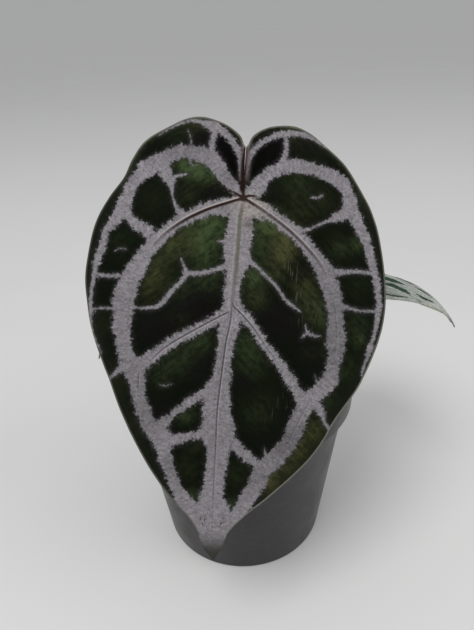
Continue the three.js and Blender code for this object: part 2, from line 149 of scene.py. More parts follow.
# Silver bands on the face: points of the band's middle with half its width
BANDS = {
    "midrib": [
        (0, 0, 2.1), (-0.8, 5, 4.2), (-0.2, 9.5, 4.7), (-0.4, 12.5, 5), (-1, 19, 5.4), (-0.5, 23.5, 5.3),
        (-0.8, 27, 4.4), (-1.3, 30, 3.7), (-1.6, 34.5, 3), (-1.8, 38.3, 3), (-1.3, 42.5, 3.8), (-1.5, 50.5, 4),
        (-2.5, 57, 3.3), (-3, 65, 3.2), (-3.4, 73, 3.8), (-4.2, 79, 5.1), (-4, 86, 5.7), (-3, 94, 6.7),
        (-2.3, 99.5, 4.6), (-2.3, 105, 4.3), (-2.5, 111.5, 4.3), (-2.7, 118, 4.3), (-3.4, 123, 5),
        (-2.4, 128.5, 7.2), (-1.5, 135.5, 8.7), (-1, 145.5, 6), (-0.3, 153, 4),
    ],
    "left_arch": [
        (0, 0, 1.2), (-4.5, 2, 1.9), (-14, 5.8, 2.7), (-22, 10, 2.5), (-28.5, 14.8, 2.9), (-33.6, 20.6, 2.6),
        (-37.4, 25.5, 3), (-39.2, 29.9, 3.6), (-41, 33.2, 3.9), (-42.8, 37.6, 4.2), (-43.7, 42.6, 4.3),
        (-44, 46.5, 4.5), (-44, 54, 3.8), (-43.2, 60.5, 3.5), (-42.3, 65, 3), (-39.5, 69.5, 4.2), (-37, 73, 4.3),
        (-36.3, 78, 3.4), (-35.3, 83, 3.1), (-33.5, 86.8, 3.1), (-31.8, 91.3, 3.1), (-29.6, 94.3, 3.7),
        (-25, 98.5, 4.4), (-23.2, 106, 2.7), (-20.8, 113, 2.5), (-17.2, 120.5, 2.8), (-11.5, 128.3, 4),
        (-5.5, 136, 4.6),
    ],
    "left_lobe": [
        (0, 0, 1.2), (-4.5, -5.5, 2.7), (-9.5, -10.5, 3.1), (-14, -15.5, 3.3), (-21, -17.5, 3), (-27.5, -17.5, 2.8),
        (-33.5, -14, 3.6), (-39, -10.5, 3.9), (-42.2, -7, 3.2), (-45, -3, 2.8), (-46.2, 2, 2.8), (-47.9, 7, 3.3),
        (-50, 10.6, 2.6), (-51.8, 13.3, 2.3), (-53.8, 15.9, 1.7), (-54.6, 19.8, 1.4), (-54.9, 23.4, 1.9),
        (-56.5, 28, 1.3), (-56.9, 31, 1.2), (-57.2, 34, 0.9), (-57.5, 38, 0.8), (-57.8, 42.7, 0.7),
        (-57.7, 47.5, 0.75), (-57, 54.5, 0.6), (-55.5, 60, 0.5), (-52, 66, 0.25),
    ],
    "left_sinus": [
        (-0.8, -9.5, 0.9), (-1.6, -18.5, 1.4), (-3.5, -22.5, 1.8), (-7, -26, 1.9), (-10, -28, 2),
        (-13.5, -29.5, 2.6), (-17, -30.5, 1.6), (-20, -31.5, 0.8), (-25, -31.3, 0.5), (-31, -28.8, 0.3),
        (-36, -25, 0.1),
    ],
    "left_sinus_link": [(-12.5, -28.5, 1.5), (-13.8, -23.5, 1.1), (-14, -17.5, 1.4)],
    "right_arch": [
        (0, 0, 1.2), (4, 1.5, 2.1), (8.5, 4, 2.8), (13.5, 7, 2.9), (19, 10.5, 2.7), (24, 14, 2.9), (28.5, 18.5, 3),
        (33.5, 24, 3.6), (36.5, 29.5, 3.8), (39, 35, 3.6), (40.5, 41.5, 3.5), (41.4, 48, 3.6), (41.7, 52, 4),
        (42.7, 58.5, 3.9), (42, 63, 3), (41.7, 67.5, 3.4), (39.8, 72, 3.9), (37, 75.2, 3.6), (33.5, 78.5, 3.7),
        (30.5, 84, 3.6), (28.5, 90, 3.7), (27, 96, 3.7), (22.5, 102.5, 3.7), (17.5, 107.8, 4.1), (15, 114, 3.7),
        (12.2, 120.5, 3.5), (9.4, 127.5, 3.3), (6, 133.5, 3.6), (3, 139, 3.7),
    ],
    "right_lobe": [
        (0, 0, 1.2), (3, -4, 2.3), (6.5, -8, 2.8), (10, -11.2, 2.7), (14.5, -14.2, 2.8), (20.5, -15.9, 3),
        (27.5, -15.8, 3), (34.5, -14.4, 3.2), (40.5, -12, 3.3), (44, -7, 3.1), (45, -1, 3.9), (48.5, 4.5, 3),
        (52.5, 11, 2.2), (55, 17.5, 2), (57.5, 24.5, 1.8), (59.5, 31, 1.7), (60.5, 37, 1.6), (60.1, 45, 1.1),
        (59.4, 49.5, 0.9), (58.8, 52.8, 0.8), (57.8, 55.6, 1.3), (57.2, 58.6, 1.2), (56.6, 61.8, 0.7),
        (55.5, 65.1, 0.8), (55.1, 68, 0.3),
    ],
    "right_sinus": [
        (1.1, -12.5, 0.3), (1.7, -19, 1), (3.2, -22.7, 1.3), (7, -25.8, 1.3), (11.5, -28, 1.5), (18.5, -30, 1.3),
        (25.5, -30, 1), (30.5, -28.2, 0.6), (35.5, -26, 0.7), (39, -23, 0.3),
    ],
    "right_sinus_link": [(16, -26.5, 0.9), (16, -20, 1), (14.5, -15.5, 1.8)],
    "left_outer_link": [
        (-47, 8, 2.6), (-44.5, 10.6, 1.8), (-41.5, 13.3, 2.1), (-38.1, 15, 2.3), (-35.4, 17, 2.6), (-34, 19.5, 2.4),
    ],
    "left_lobe_link": [
        (-33.5, -13, 3), (-31, -7.5, 2.5), (-28.7, -3, 1.2), (-28, 1, 0.35), (-25.8, 6, 0.8), (-23, 9, 1.6),
    ],
    "left_lobe_twig": [(-28.5, -5.5, 1), (-26.5, -7, 0.7), (-23.5, -7.7, 0.35)],
    "left_cross_1": [(-56.5, 34, 0.7), (-52, 34.8, 0.7), (-46, 34.4, 0.8)],
    "left_cross_2": [(-57, 49, 0.5), (-52.5, 48, 0.4), (-47.5, 48, 0.6)],
    "left_cross_3": [(-42.5, 71, 1.6), (-45.5, 74.3, 0.9), (-48.3, 77, 0.5)],
    "left_side_1": [
        (-4, 27.5, 1.8), (-7.5, 29, 0.9), (-14, 31.3, 0.9), (-19.5, 32, 1), (-21.8, 35, 0.9), (-26, 40, 0.9),
        (-28.5, 44, 1), (-32, 46.3, 0.7), (-37.5, 46.8, 0.45), (-40, 47, 0.5),
    ],
    "left_side_twig": [(-19.5, 32, 1), (-21, 29.5, 0.6), (-22.3, 26.6, 0.35)],
    "left_side_2": [
        (-3, 46.5, 2.4), (-9, 50, 2.1), (-15, 54, 2.1), (-21, 57.5, 2.1), (-27, 62.2, 2.3), (-31, 65.5, 2.5),
        (-34, 68.4, 2.8), (-38, 70, 2.5),
    ],
    "left_side_3": [
        (-5.5, 74.5, 2.4), (-10, 78.5, 1.9), (-14.5, 82, 1.6), (-18.5, 85.5, 1.5), (-22.2, 89.6, 1.4),
        (-25.5, 93.3, 2.3),
    ],
    "left_side_4": [(-5, 92.5, 2.9), (-10, 95, 1.8), (-15.5, 97, 1.9), (-21, 99, 2.5)],
    "right_side_1": [
        (3, 24.5, 1.7), (7.5, 27.2, 0.65), (12, 31, 0.6), (15.5, 34, 0.6), (19, 38.3, 0.6), (22.5, 41.2, 0.7),
        (25.8, 43, 0.35),
    ],
    "right_side_2": [
        (-1, 43, 2.4), (4, 47, 2.2), (8.5, 51.8, 1.9), (12.5, 57.3, 1.9), (18, 63, 1.9), (21.5, 67.5, 2.1),
        (26.5, 74, 2.4), (30.5, 79.5, 2.6),
    ],
    "right_side_3": [(1.5, 96, 2.6), (5, 99.5, 2.2), (9, 102.8, 1.8), (13.8, 106.5, 1.9), (16.5, 108, 2)],
    "right_cross_1": [
        (23, 10.8, 1.7), (26.5, 10.2, 0.6), (30.5, 8.2, 0.45), (35, 5.7, 0.65), (38, 4, 1.5), (41, 2, 2.4),
        (44, 0, 2.8),
    ],
    "right_cross_2": [(35, 26, 1.8), (41.5, 26, 1.3), (47.5, 25, 0.75), (53.5, 24.5, 0.9), (57, 24.5, 0.9)],
    "right_cross_3": [(41.5, 39.5, 1.7), (45, 40, 0.9), (50.5, 41, 0.6), (57.5, 40.7, 0.6), (60, 41, 0.7)],
    "right_cross_4": [(35, 80, 2.2), (38.5, 83.5, 1.4), (40, 87.5, 0.7), (42.5, 91, 0.7), (44, 92, 0.5)],
    "right_star": [(27.4, 53.5, 0.3), (29.2, 51.6, 0.6), (31.5, 52.4, 0.75), (34.6, 52.6, 0.3)],
    "right_star_foot": [(29.2, 51.6, 0.4), (28.6, 49, 0.15)],
    "right_lobe_twig": [(27.6, -3, 0.3), (29.8, -3.2, 0.45), (31.9, -4.7, 0.25)],
    "right_seat_web": [(3, -2, 1.3), (5.6, -2.6, 1.8), (7.8, -4.2, 1.6)],
    "right_midrib_web": [(2.5, 4, 2.4), (5.5, 6.2, 1.8), (7.8, 8.2, 0.6)],
    "left_midrib_web": [(-3, 4.5, 2.2), (-6.5, 6, 1.7), (-9.5, 7.3, 0.6)],
    "right_foot_twig": [(17.6, 104.2, 0.9), (16.4, 99.8, 0.15)],
    "right_arch_twig": [(34.4, 69, 0.15), (36.5, 73, 0.8)],
    "left_midrib_tooth": [(-3.5, 17.6, 1.4), (-6.5, 18.2, 0.9), (-8.4, 18.4, 0.3)],
    "left_cell_mark": [(-48.5, 24, 0.02), (-46.7, 23.4, 0.2), (-45.2, 23.7, 0.02)],
    "left_top_mark": [(-24.3, -27.2, 0.02), (-22.7, -24.2, 0.1), (-22.4, -20, 0.3)],
    "left_fork": [(-22.2, -14.5, 0.6), (-21.5, -11.8, 0.25), (-18.8, -12.1, 0.05)],
    "left_low_mark": [(-26.5, 76.5, 0.02), (-24.8, 76.6, 0.15), (-23, 75.8, 0.02)],
}

# Cells that show towards the tip of the second blade: points of the middle with half the width
SECOND_CELLS = [
    [(7.5, 62, 3), (7.5, 72, 4), (7.5, 81, 4), (8, 88, 3.8), (10, 94, 2.6), (11.5, 98, 0.6)],
    [(13.5, 101, 0.5), (13.5, 106, 2), (12, 112, 2.2), (10, 118, 1.2), (8, 122, 0.4)],
    [(-9, 68, 1.5), (-8.5, 81, 2.8), (-8, 88, 4.2), (-9.5, 95, 4.8), (-12, 99, 3), (-15.5, 104, 0.5)],
    [(-7, 108, 0.5), (-7.5, 112, 1.8), (-7.5, 115.5, 2.1), (-5.5, 120, 1.5), (-3.5, 124.5, 0.4)],
    [(-37.7, 78, 1.4), (-36.4, 87.5, 1.7), (-33, 94, 1.6), (-28.5, 100, 1.2), (-25.5, 103, 0.4)],
    [(-22, 109, 0.4), (-21, 113, 1.3), (-19, 118, 0.5)],
]
# Spacing of a band's points, the widest half that is drawn as a thread, how far a drawn line goes on past
# its end and how softly two bands join
BAND_STEP = 2.2
THIN_BAND = 1.3
LINE_END = 0.7
WEB_WIDTH = 1.2

# Lines drawn on the veins, with how strongly each point shows: the red-brown cores near the stalk, the
# olive core of the midrib and the fine grooves further out, which are painted dark as the grooves' shade
LINES = {
    "maroon": [
        [(0, 0.2, 1), (-4.5, 2, 1), (-14, 6, 1), (-22, 10.5, 0.95), (-28.6, 15.6, 0.6), (-33, 20.4, 0.2),
         (-37, 25.5, 0)],
        [(36.5, 29.6, 0), (33.5, 24.2, 0.3), (28.5, 18.9, 0.6), (19, 11.2, 0.75), (8.5, 4.6, 0.65),
         (3.5, 1.9, 0.95), (0, 0, 1)],
        [(0, -25, 1), (-0.6, -18, 1), (-0.5, -12, 1), (0, 0, 1)],
        [(0, 0, 1), (-2, -1.1, 1), (-3.5, -2, 0.9), (-5.5, -2.5, 0.6), (-8, -2.4, 0)],
        [(6.4, -0.4, 0), (4.8, -1.1, 0.8), (2.9, -1.4, 1), (0, 0, 1)],
    ],
    "olive": [
        [(0, 3, 0.6), (-0.3, 5, 1), (-0.7, 9, 1), (-0.7, 18, 1), (-0.7, 27, 1), (-1, 34.5, 0.8), (-1.2, 42, 0.4),
         (-1.5, 50, 0)],
    ],
    "groove": [
        [(-1.2, 40, 0.2), (-1.5, 50, 0.9), (-2.5, 57, 1), (-3, 65, 1), (-3.4, 73, 1), (-3.8, 85, 0.9),
         (-3.3, 100, 0.7), (-2.8, 115, 0.45), (-2.2, 130, 0.25), (-1, 145, 0.1)],
        [(-1, 43, 1), (4, 47.3, 1), (8.5, 52, 0.8), (14, 59, 0.4), (20, 66, 0.2)],
        [(-3, 46, 1), (-9, 49.7, 1), (-15, 53.6, 0.95), (-21, 57.6, 0.9), (-24, 59.9, 0.9), (-27.6, 62.8, 0.8),
         (-29.8, 65.4, 0.7), (-32.3, 68.2, 0.2)],
        [(-35.8, 71.5, 0.2), (-36, 74.5, 0.7), (-35.9, 77.5, 0.6), (-35.4, 80.5, 0.1)],
        [(40, 38, 0.15), (42.3, 52, 0.3), (42, 62, 0.1)],
        [(33.5, 78.5, 0.1), (29.5, 88, 0.4), (26, 97, 0.2)],
    ],
}

# Patches of colour in the cells between the veins: place in the plan, reach and strength
PATCHES = {
    # Painted light: lighter green on the upper parts of the cells, where they face the light, with soft sheen
    "painted_light": [
        (-11, 12, 6, 0.9), (-18, 15, 7, 0.5), (-13.5, 22.5, 7, 0.6), (-26.5, 22.5, 4, 0.4), (8, 20, 6, 0.35),
        (4.8, 32.5, 4, 0.6), (-25, -12, 3.5, 0.7), (-12, 34, 6, 0.36), (-22, 38, 5, 0.3), (-12, 58, 5, 0.38),
        (-21, 65, 7, 0.35), (-27, 73, 5, 0.2), (-16, 88, 4, 0.42), (-20, -10.5, 5, 1), (-13, -8, 5, 0.8),
        (-22, 0.5, 4.5, 0.2), (-36, 3, 7, 0.08), (10, 9.5, 6, 0.85), (14, 12, 6, 0.5), (21, -8, 8, 0.25),
        (5, 57, 5, 0.35), (8, 64, 7, 0.3), (13, 84, 8, 0.15), (48, 13.5, 3.5, 0.6), (40.5, 16, 5, 0.3),
        (7.5, 39.5, 5, 0.25), (14, 29, 5, 0.2), (34.5, 42, 3.5, 0.35), (52.5, 53.5, 3.5, 0.4), (50, 30, 6, 0.1),
        (51, 47, 6, 0.25), (48, 66, 7, 0.2), (41, 80, 6, 0.2), (-48, 20, 6, 0.12), (-14, 107, 5, 0.1),
        (-11, 121, 3, 0.5), (6, 110, 5, 0.12), (5, 124, 3, 0.4), (-28, -26, 6, 0.12), (27, -25, 7, 0.1),
        (8, 30, 4, 0.5), (38, 57, 5, 0.15), (30, 39, 5, 0.4), (36, 47, 4, 0.3), (-33, 27, 5, 0.3),
    ],
    # Olive tint of the cells and of the strip along the edge, with painted sheen in places
    "olive_and_sheen": [
        (-24, 20, 7, 0.45), (-32, 33, 6, 0.5), (28, 108.5, 4, 0.5), (21, 117.5, 4, 0.4), (7.5, 39.5, 5, 0.25),
        (14, 29, 4, 0.3), (-34, 40, 5, 0.3), (18, 16, 6, 0.9), (17, 22, 5, 0.7), (27, 33, 6, 0.4), (31, 45, 5, 0.3),
        (33, -3, 6, 0.15), (24, 4, 7, 0.2), (-11, 100, 4, 0.1), (37, 92, 6, 0.6), (30, 101, 6, 0.6),
        (20, 113, 6, 0.7), (-52, 55, 6, 0.1), (-47, 78, 7, 0.15), (-38, 95, 6, 0.1), (30, 60, 4, 0.1),
        (-14, 112, 4, 0.1), (6, 116, 5, 0.06), (-21, 50, 4, 0.2), (-20, -31, 6, 0.35), (20, -31, 6, 0.35),
    ],
    # Painted shade: purplish black on the lower parts of the cells and in the valley between the lobes, where they
    # face away from the light
    "painted_shade": [
        (-16, 45, 8, 1), (-27, 54, 7, 0.9), (-34, 55, 5, 0.6), (-8, 42, 5, 0.6), (-13, 70, 6, 0.65),
        (-9, 64, 4, 0.5), (-26, 84, 6, 0.6), (-27, 90, 4, 0.8), (-11, -2, 4.5, 1), (-23, 3, 5, 0.1),
        (-17, 3, 4, 0.3), (-9, -20, 8, 1), (9, -20, 8, 1), (13, -23, 5, 0.8), (8, 41, 5, 0.25), (15, 47, 6.5, 0.7),
        (20, 49, 7, 0.8), (27, 54, 6, 0.6), (32, 62, 7, 0.5), (5.5, 73, 3.5, 1), (15, 96, 6, 0.4),
        (13, 104, 5, 0.35), (20, 82, 6, 0.3), (-10, 93, 3, 0.6), (27, 8, 4, 0.4), (-18, -24, 5, 0.8),
        (-30, 9, 5, 0.3), (41, 13, 3, 0.3), (14, 28, 5, 0.2), (13.5, -2.5, 4, 0.5), (6, 118, 3, 0.4),
        (-15, 118, 3, 0.4), (-55, 40, 4, 0.4), (24, -25, 6, 0.8), (24, 28, 3, 0.4),
    ],
    # Painted satin highlights: places where the cells show pale streaks of light
    "sheen_streaks": [
        (20, 27, 4, 0.8), (26, 36, 4, 0.8), (22, 34, 4, 0.5), (30, 46, 5, 0.5), (24, 80, 5, 0.45), (19, 86, 4, 0.3),
        (-29, 70, 4, 0.2),
    ],
    "dull": [
        (-6, -7.5, 5, 0.6), (3, 10.5, 2.4, 1), (-5, -1.5, 3, 0.3), (-7, 5, 4, 0.5), (41, 42, 15, 0.6),
        (42, 60, 12, 0.6), (27, 97, 13, 1), (16, 114, 8, 0.6), (-39, 72, 8, 0.4), (-31, 88, 12, 0.8),
        (-21, 112, 8, 0.6), (-21, -17, 8, 0.6), (-43, 50, 12, 0.35), (-3, 70, 14, 0.3), (-4, 98, 14, 0.3),
        (28, -18, 8, 0.4), (14, -2, 4, 0.7), (33, 24, 8, 0.4), (-30, -17, 6, 0.3),
    ],
}

# Colours of small marks on the blades
MARKS = {
    # pale streaks painted on the cells as satin highlights
    "streak": (0.10, 0.105, 0.075),
    # painted glints on the silver
    "painted_glint": (0.40, 0.39, 0.40),
    "hole": (0.030, 0.032, 0.018),
    "slit": (0.115, 0.085, 0.085),
    # painted highlight on the upper side of the raised veins near the stalk
    "ridge_highlight": (0.42, 0.38, 0.365),
    "slot": (0.010, 0.006, 0.005),
    "olive_side": (0.36, 0.34, 0.33),
    "olive": (0.105, 0.102, 0.072),
    # painted highlight beside the fine grooves
    "groove_highlight": (0.38, 0.36, 0.38),
    # painted shade in the fine grooves
    "groove": (0.045, 0.042, 0.042),
    "tip": (0.044, 0.043, 0.037),
    "young_tip": (0.2, 0.2, 0.17),
    "back_tip": (0.34, 0.35, 0.30),
    "rib_tip": (0.30, 0.33, 0.22),
}

# Relief of a blade of full size
SINUS_DEPTH = 5
SINUS_WIDTH = 7
SINUS_RISE = 12
PUFF_HEIGHT = 1.4
PUFF_WIDTH = 6
PUFF_FADE = 9
WAVE_HEIGHT = 0.5
WAVE_REACH = 16
WAVE_COUNT = 11
WAVE_START = 4.8
GROOVE_DEPTH = 0.3
RIPPLE_HEIGHT = 0.12

# Blades: the seat is where the stalk meets the blade. Heading, roll, pitch, bend and droop are degrees;
# curl is the radius across the blade and stalk points from the seat into the stalk.
BLADES = {
    "leaf_front": dict(
        scale=1, seat=(4.2, -30, 199.4), heading=0, roll=7.4, pitch=55, bend=26.4, droop=0, curl=170, blunt=0.45,
        stalk=(0, 0.72, -0.7), columns=352, rings=124, wander=0, sway=0, widen=0, pale_rim=0, ribs=2,
    ),
    "leaf_right": dict(
        scale=0.617, seat=(34.3, 40, 147.1), heading=70, roll=12.5, pitch=12, bend=-9.3, droop=61, curl=110, blunt=0,
        stalk=(-0.3, -0.25, -0.92), columns=264, rings=86, wander=1.6, sway=7, widen=1.1, pale_rim=2.2, ribs=1,
    ),
    "leaf_left": dict(
        scale=0.387, seat=(-31, 32, 130), heading=-66.7, roll=-5, pitch=14.4, bend=10, droop=48, curl=80, blunt=0,
        stalk=(0.25, -0.35, -0.9), columns=220, rings=72, wander=2.4, sway=0, widen=0.8, pale_rim=2.4, ribs=1,
    ),
}
SEAT_HEIGHT = 4.2
CAD_BLADE_THICKNESS = 0.8
RIB_SUNK = 0.45

# Stalks: points between the stem and the seat, then the radius along the way
STALKS = {
    "petiole_front": (
        "leaf_front", [(0, 7, 106), (-1, 15, 124), (-2, 17, 148), (0, 9, 172)], (4.2, 3, 2.6, 2.5, 2.5, 2.9, 3),
    ),
    "petiole_right": ("leaf_right", [(3, 9, 102), (13, 20, 112), (23, 30, 126)], (3.6, 2.6, 2.1, 2.1, 2.4)),
    "petiole_left": ("leaf_left", [(-3, 8, 98), (-13, 15, 105), (-24, 25, 115)], (3.2, 2.2, 1.8, 1.8, 2)),
}

# Stage: the lights' places, what they point at and their sizes, and how much darker the backdrop looks
# than the sky that lights the plant
LIGHTS = {
    "key_light": ((-0.5, -0.8, 1.6), (0, 0, 0.12), 0.9),
    "fill_light": ((1.3, -0.6, 0.9), (0, 0, 0.1), 1.2),
}
SKY_COLOUR = (0.985, 0.99, 1, 1)
BACKDROP_DIMMING = 0.245
FLOOR_RADIUS = 30

# Camera of the photograph
CAMERA_AT = (0, -0.245, 0.26)
CAMERA_LENS = 31.486
CAMERA_PITCH = 27.7
CAMERA_ROLL = -2.16
SENSOR_WIDTH = 36


def length_property(name, description, default):
    return FloatProperty(name=name, description=description, default=default, unit="LENGTH", min=0, precision=4)


def count_property(name, description, default):
    return IntProperty(name=name, description=description, default=default, min=0, max=2000)


def power_property(name, description, default):
    return FloatProperty(name=name, description=description, default=default, min=0, unit="POWER")


def colour_property(name, description, default):
    return FloatVectorProperty(name=name, description=description, default=default, subtype="COLOR", min=0, max=1)


class PotSettings(bpy.types.PropertyGroup):
    """Sizes and colours of the pot"""

    height: length_property("Height", "Height of the pot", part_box("pot")[1].z)
    rim_radius: length_property("Rim radius", "Radius of the pot over its rim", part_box("pot")[1].x)
    base_radius: length_property("Base radius", "Radius of the pot's foot", POT_FOOT * MM)
    wall: length_property("Wall", "Thickness of the pot's wall", 0.0016)
    plastic: colour_property("Plastic", "Colour of the pot", (0.0075, 0.0075, 0.0085))
    dust: colour_property("Dust", "Colour of the dried splashes on the pot", (0.10, 0.095, 0.085))


class MixSettings(bpy.types.PropertyGroup):
    """What the potting mix is made of"""

    chips: count_property("Bark chips", "How many bark chips lie on the mix", 260)
    grains: count_property("Pumice grains", "How many pale grains lie on the mix", 150)
    fibres: count_property("Fibres", "How many coconut fibres lie on the mix", 70)
    seed: count_property("Seed", "Number that the scatter starts from", 11)
    soil: colour_property("Soil", "Colour of the fine mix", (0.022, 0.015, 0.010))
    bark: colour_property("Bark", "Colour of the bark chips", (0.105, 0.052, 0.027))
    grain: colour_property("Pumice", "Colour of the pale grains", (0.52, 0.49, 0.43))
    fibre: colour_property("Fibre", "Colour of the coconut fibres", (0.20, 0.105, 0.048))


class StemSettings(bpy.types.PropertyGroup):
    """Sizes and colours of the stem, its roots and its bracts"""

    root_radius: length_property("Root radius", "Radius of an aerial root where it leaves the stem", 0.0019)
    bract_thickness: length_property("Bract thickness", "Thickness of a papery bract", 0.0005)
    bark: colour_property("Stem", "Colour of the old stem", (0.085, 0.072, 0.036))
    crown: colour_property("Crown", "Colour of the young top of the stem", (0.12, 0.15, 0.045))
    root: colour_property("Root", "Colour of the aerial roots", (0.21, 0.165, 0.11))
    root_tip: colour_property("Root tip", "Colour of the damp lower ends of the roots", (0.13, 0.12, 0.05))
    bract: colour_property("Bract", "Colour of the papery bracts", (0.20, 0.095, 0.045))


class StalkSettings(bpy.types.PropertyGroup):
    """Colours of the stalks"""

    green: colour_property("Green", "Main colour of a stalk", (0.115, 0.125, 0.04))
    flush: colour_property("Flush", "Reddish flush near the stem and at the knee", (0.14, 0.062, 0.035))
    fleck: colour_property("Fleck", "Colour of the pale flecks on a stalk", (0.27, 0.29, 0.16))


class BladeSettings(bpy.types.PropertyGroup):
    """Sizes and colours of the blades"""

    thickness: length_property("Thickness", "Thickness of a blade", 0.0006)
    quilting: length_property("Quilting", "Height of the small cushions between the fine veins", 0.00035)
    ridge: length_property("Ridge", "Height of the main veins near the stalk", 0.0006)
    silver: colour_property("Silver", "Colour of the veins", (0.228, 0.213, 0.229))
    cream: colour_property("Cream", "Colour of the veins near the stalk", (0.31, 0.275, 0.25))
    young: colour_property("Young silver", "Colour of the veins of a young blade", (0.435, 0.46, 0.42))
    young_green: colour_property("Young green", "Colour of the cells of a young blade", (0.040, 0.078, 0.050))
    young_rim: colour_property("Young rim", "Colour of the edge of a young blade", (0.36, 0.345, 0.31))
    dark: colour_property("Dark green", "Deep colour of the cells", (0.0030, 0.0047, 0.0020))
    # Painted light: the lighter green that stands for light and soft sheen on the cells' upper parts
    painted_light: colour_property("Fresh green", "Lighter colour of the cells", (0.038, 0.056, 0.022))
    olive: colour_property("Olive", "Warm colour of the cells", (0.049, 0.051, 0.020))
    # Painted shade: the purplish black that stands for shade on the cells' lower parts
    painted_shade: colour_property("Dusk", "Purplish black in the lower parts of the cells", (0.0050, 0.0042, 0.0039))
    margin: colour_property("Margin", "Colour of the strip along the edge", (0.0092, 0.0112, 0.0066))
    rim: colour_property("Rim", "Colour of the fine line on the edge", (0.19, 0.185, 0.155))
    core: colour_property("Core", "Red-brown cores of the veins near the stalk", (0.022, 0.0095, 0.0075))
    back: colour_property("Back", "Colour of the blade's back", (0.145, 0.175, 0.085))
    back_rib: colour_property("Rib", "Colour of the ribs on the back", (0.30, 0.33, 0.19))


class StageSettings(bpy.types.PropertyGroup):
    """Floor and light of the picture"""

    floor: colour_property("Floor", "Colour of the floor", (0.74, 0.738, 0.734))
    key_power: power_property("Key light", "Power of the large soft light", 15)
    fill_power: power_property("Fill light", "Power of the light opposite", 6)
    sky: FloatProperty(name="Sky", description="Strength of the light from all round", default=0.5, min=0)


class Value:
    """A socket of a finish. A plain sum on it adds the Math node that works it out."""

    def __init__(self, paint, socket):
        self.paint = paint
        self.socket = socket

    def other(self, name):
        return Value(self.paint, self.socket.node.outputs[name])

    def __add__(self, other):
        return self.paint.math("ADD", self, other)

    def __sub__(self, other):
        return self.paint.math("SUBTRACT", self, other)

    def __rsub__(self, other):
        return self.paint.math("SUBTRACT", other, self)

    def __mul__(self, other):
        return self.paint.math("MULTIPLY", self, other)

    def __abs__(self):
        return self.paint.math("ABSOLUTE", self)

    __radd__ = __add__
    __rmul__ = __mul__


class Paint:
    """The node tree of one finish"""

    def __init__(self, name):
        self.material = bpy.data.materials.new(name)
        self.material.use_nodes = True
        self.tree = self.material.node_tree
        self.tree.nodes.clear()

    @staticmethod
    def socket(sockets, key):
        if isinstance(key, int):
            return sockets[key]
        return next(s for s in sockets if key in (s.identifier, s.name))

    def node(self, kind, settings=None, inputs=None, out=0):
        """Adds a node, with its settings set before the values or links of its sockets."""
        made = self.tree.nodes.new(kind)
        for key, value in (settings or {}).items():
            setattr(made, key, value)
        for key, value in (inputs or {}).items():
            socket = self.socket(made.inputs, key)
            if isinstance(value, Value):
                self.tree.links.new(value.socket, socket)
            elif socket.type == "RGBA":
                socket.default_value = (*value[:3], 1)
            else:
                socket.default_value = value
        return Value(self, self.socket(made.outputs, out))

    def math(self, operation, *values):
        return self.node("ShaderNodeMath", {"operation": operation}, dict(enumerate(values)))

    def most(self, a, b):
        return self.math("MAXIMUM", a, b)

    def attribute(self, name, out="Fac"):
        return self.node("ShaderNodeAttribute", {"attribute_name": name}, out=out)

    def place(self):
        """Object coordinates in millimetres"""
        return self.scaled(self.node("ShaderNodeTexCoord", out="Object"), (1 / MM,) * 3)

    def scaled(self, vector, factors):
        return self.node("ShaderNodeVectorMath", {"operation": "MULTIPLY"}, {0: vector, 1: factors})

    def parts(self, vector):
        x = self.node("ShaderNodeSeparateXYZ", {}, {0: vector})
        return x, x.other("Y"), x.other("Z")

    def noise(self, vector, scale, detail, roughness):
        values = {"Vector": vector, "Scale": scale, "Detail": detail, "Roughness": roughness}
        return self.node("ShaderNodeTexNoise", {}, values)

    def strokes(self, vector, factors, detail, roughness):
        """Noise drawn out along the axes that have the smaller factors"""
        return self.noise(self.scaled(vector, factors), 1, detail, roughness)

    def cells(self, vector, scale, feature="F1"):
        return self.node("ShaderNodeTexVoronoi", {"feature": feature}, {"Vector": vector, "Scale": scale})

    def smooth(self, value, low, high):
        """0 at low, 1 at high and smooth between, whichever is greater"""
        values = {"Value": value, "From Min": low, "From Max": high}
        return self.node("ShaderNodeMapRange", {"interpolation_type": "SMOOTHSTEP"}, values)

    def mix(self, factor, a, b):
        values = {"Factor_Float": factor, "A_Color": a, "B_Color": b}
        return self.node("ShaderNodeMix", {"data_type": "RGBA"}, values, out="Result_Color")

    def layers(self, base, *coats):
        """The base under coats of colour, each with how much of it shows"""
        for share, colour in coats:
            base = self.mix(share, base, colour)
        return base

    def shade(self, colour, factor):
        """The colour made lighter or darker by a factor"""
        return self.node("ShaderNodeVectorMath", {"operation": "SCALE"}, {0: colour, "Scale": factor})

    def drawn(self, name, offset=0.0):
        """Distance off a drawn line in the blade's millimetres, and the line's value there"""
        side, near, value = self.parts(self.attribute(name, "Vector"))
        return self.most(abs(side - offset), near - LINE_END - abs(offset)), value

    def line(self, name, width, offset=0.0):
        """How strongly a drawn line shows: 1 on it and 0 beyond its width"""
        off, strength = self.drawn(name, offset)
        return self.smooth(off, width, 0.45 * width) * strength

    def net(self, plan, width):
        """Finest veins between the drawn ones"""
        return self.smooth(self.cells(self.scaled(plan, (1, 0.7, 1)), 0.36, "DISTANCE_TO_EDGE"), width, 0)

    def finish(self, base, roughness, relief=None, *, specular, sheen=0):
        """Closes the finish. The relief is a height in millimetres."""
        inputs = {"Base Color": base, "Roughness": roughness, "Specular IOR Level": specular, "Sheen Weight": sheen}
        if relief is not None:
            inputs["Normal"] = self.node("ShaderNodeBump", {}, {"Distance": MM, "Height": relief})
        shader = self.node("ShaderNodeBsdfPrincipled", {}, inputs)
        output = self.tree.nodes.new("ShaderNodeOutputMaterial")
        self.tree.links.new(shader.socket, output.inputs["Surface"])
        return self.material


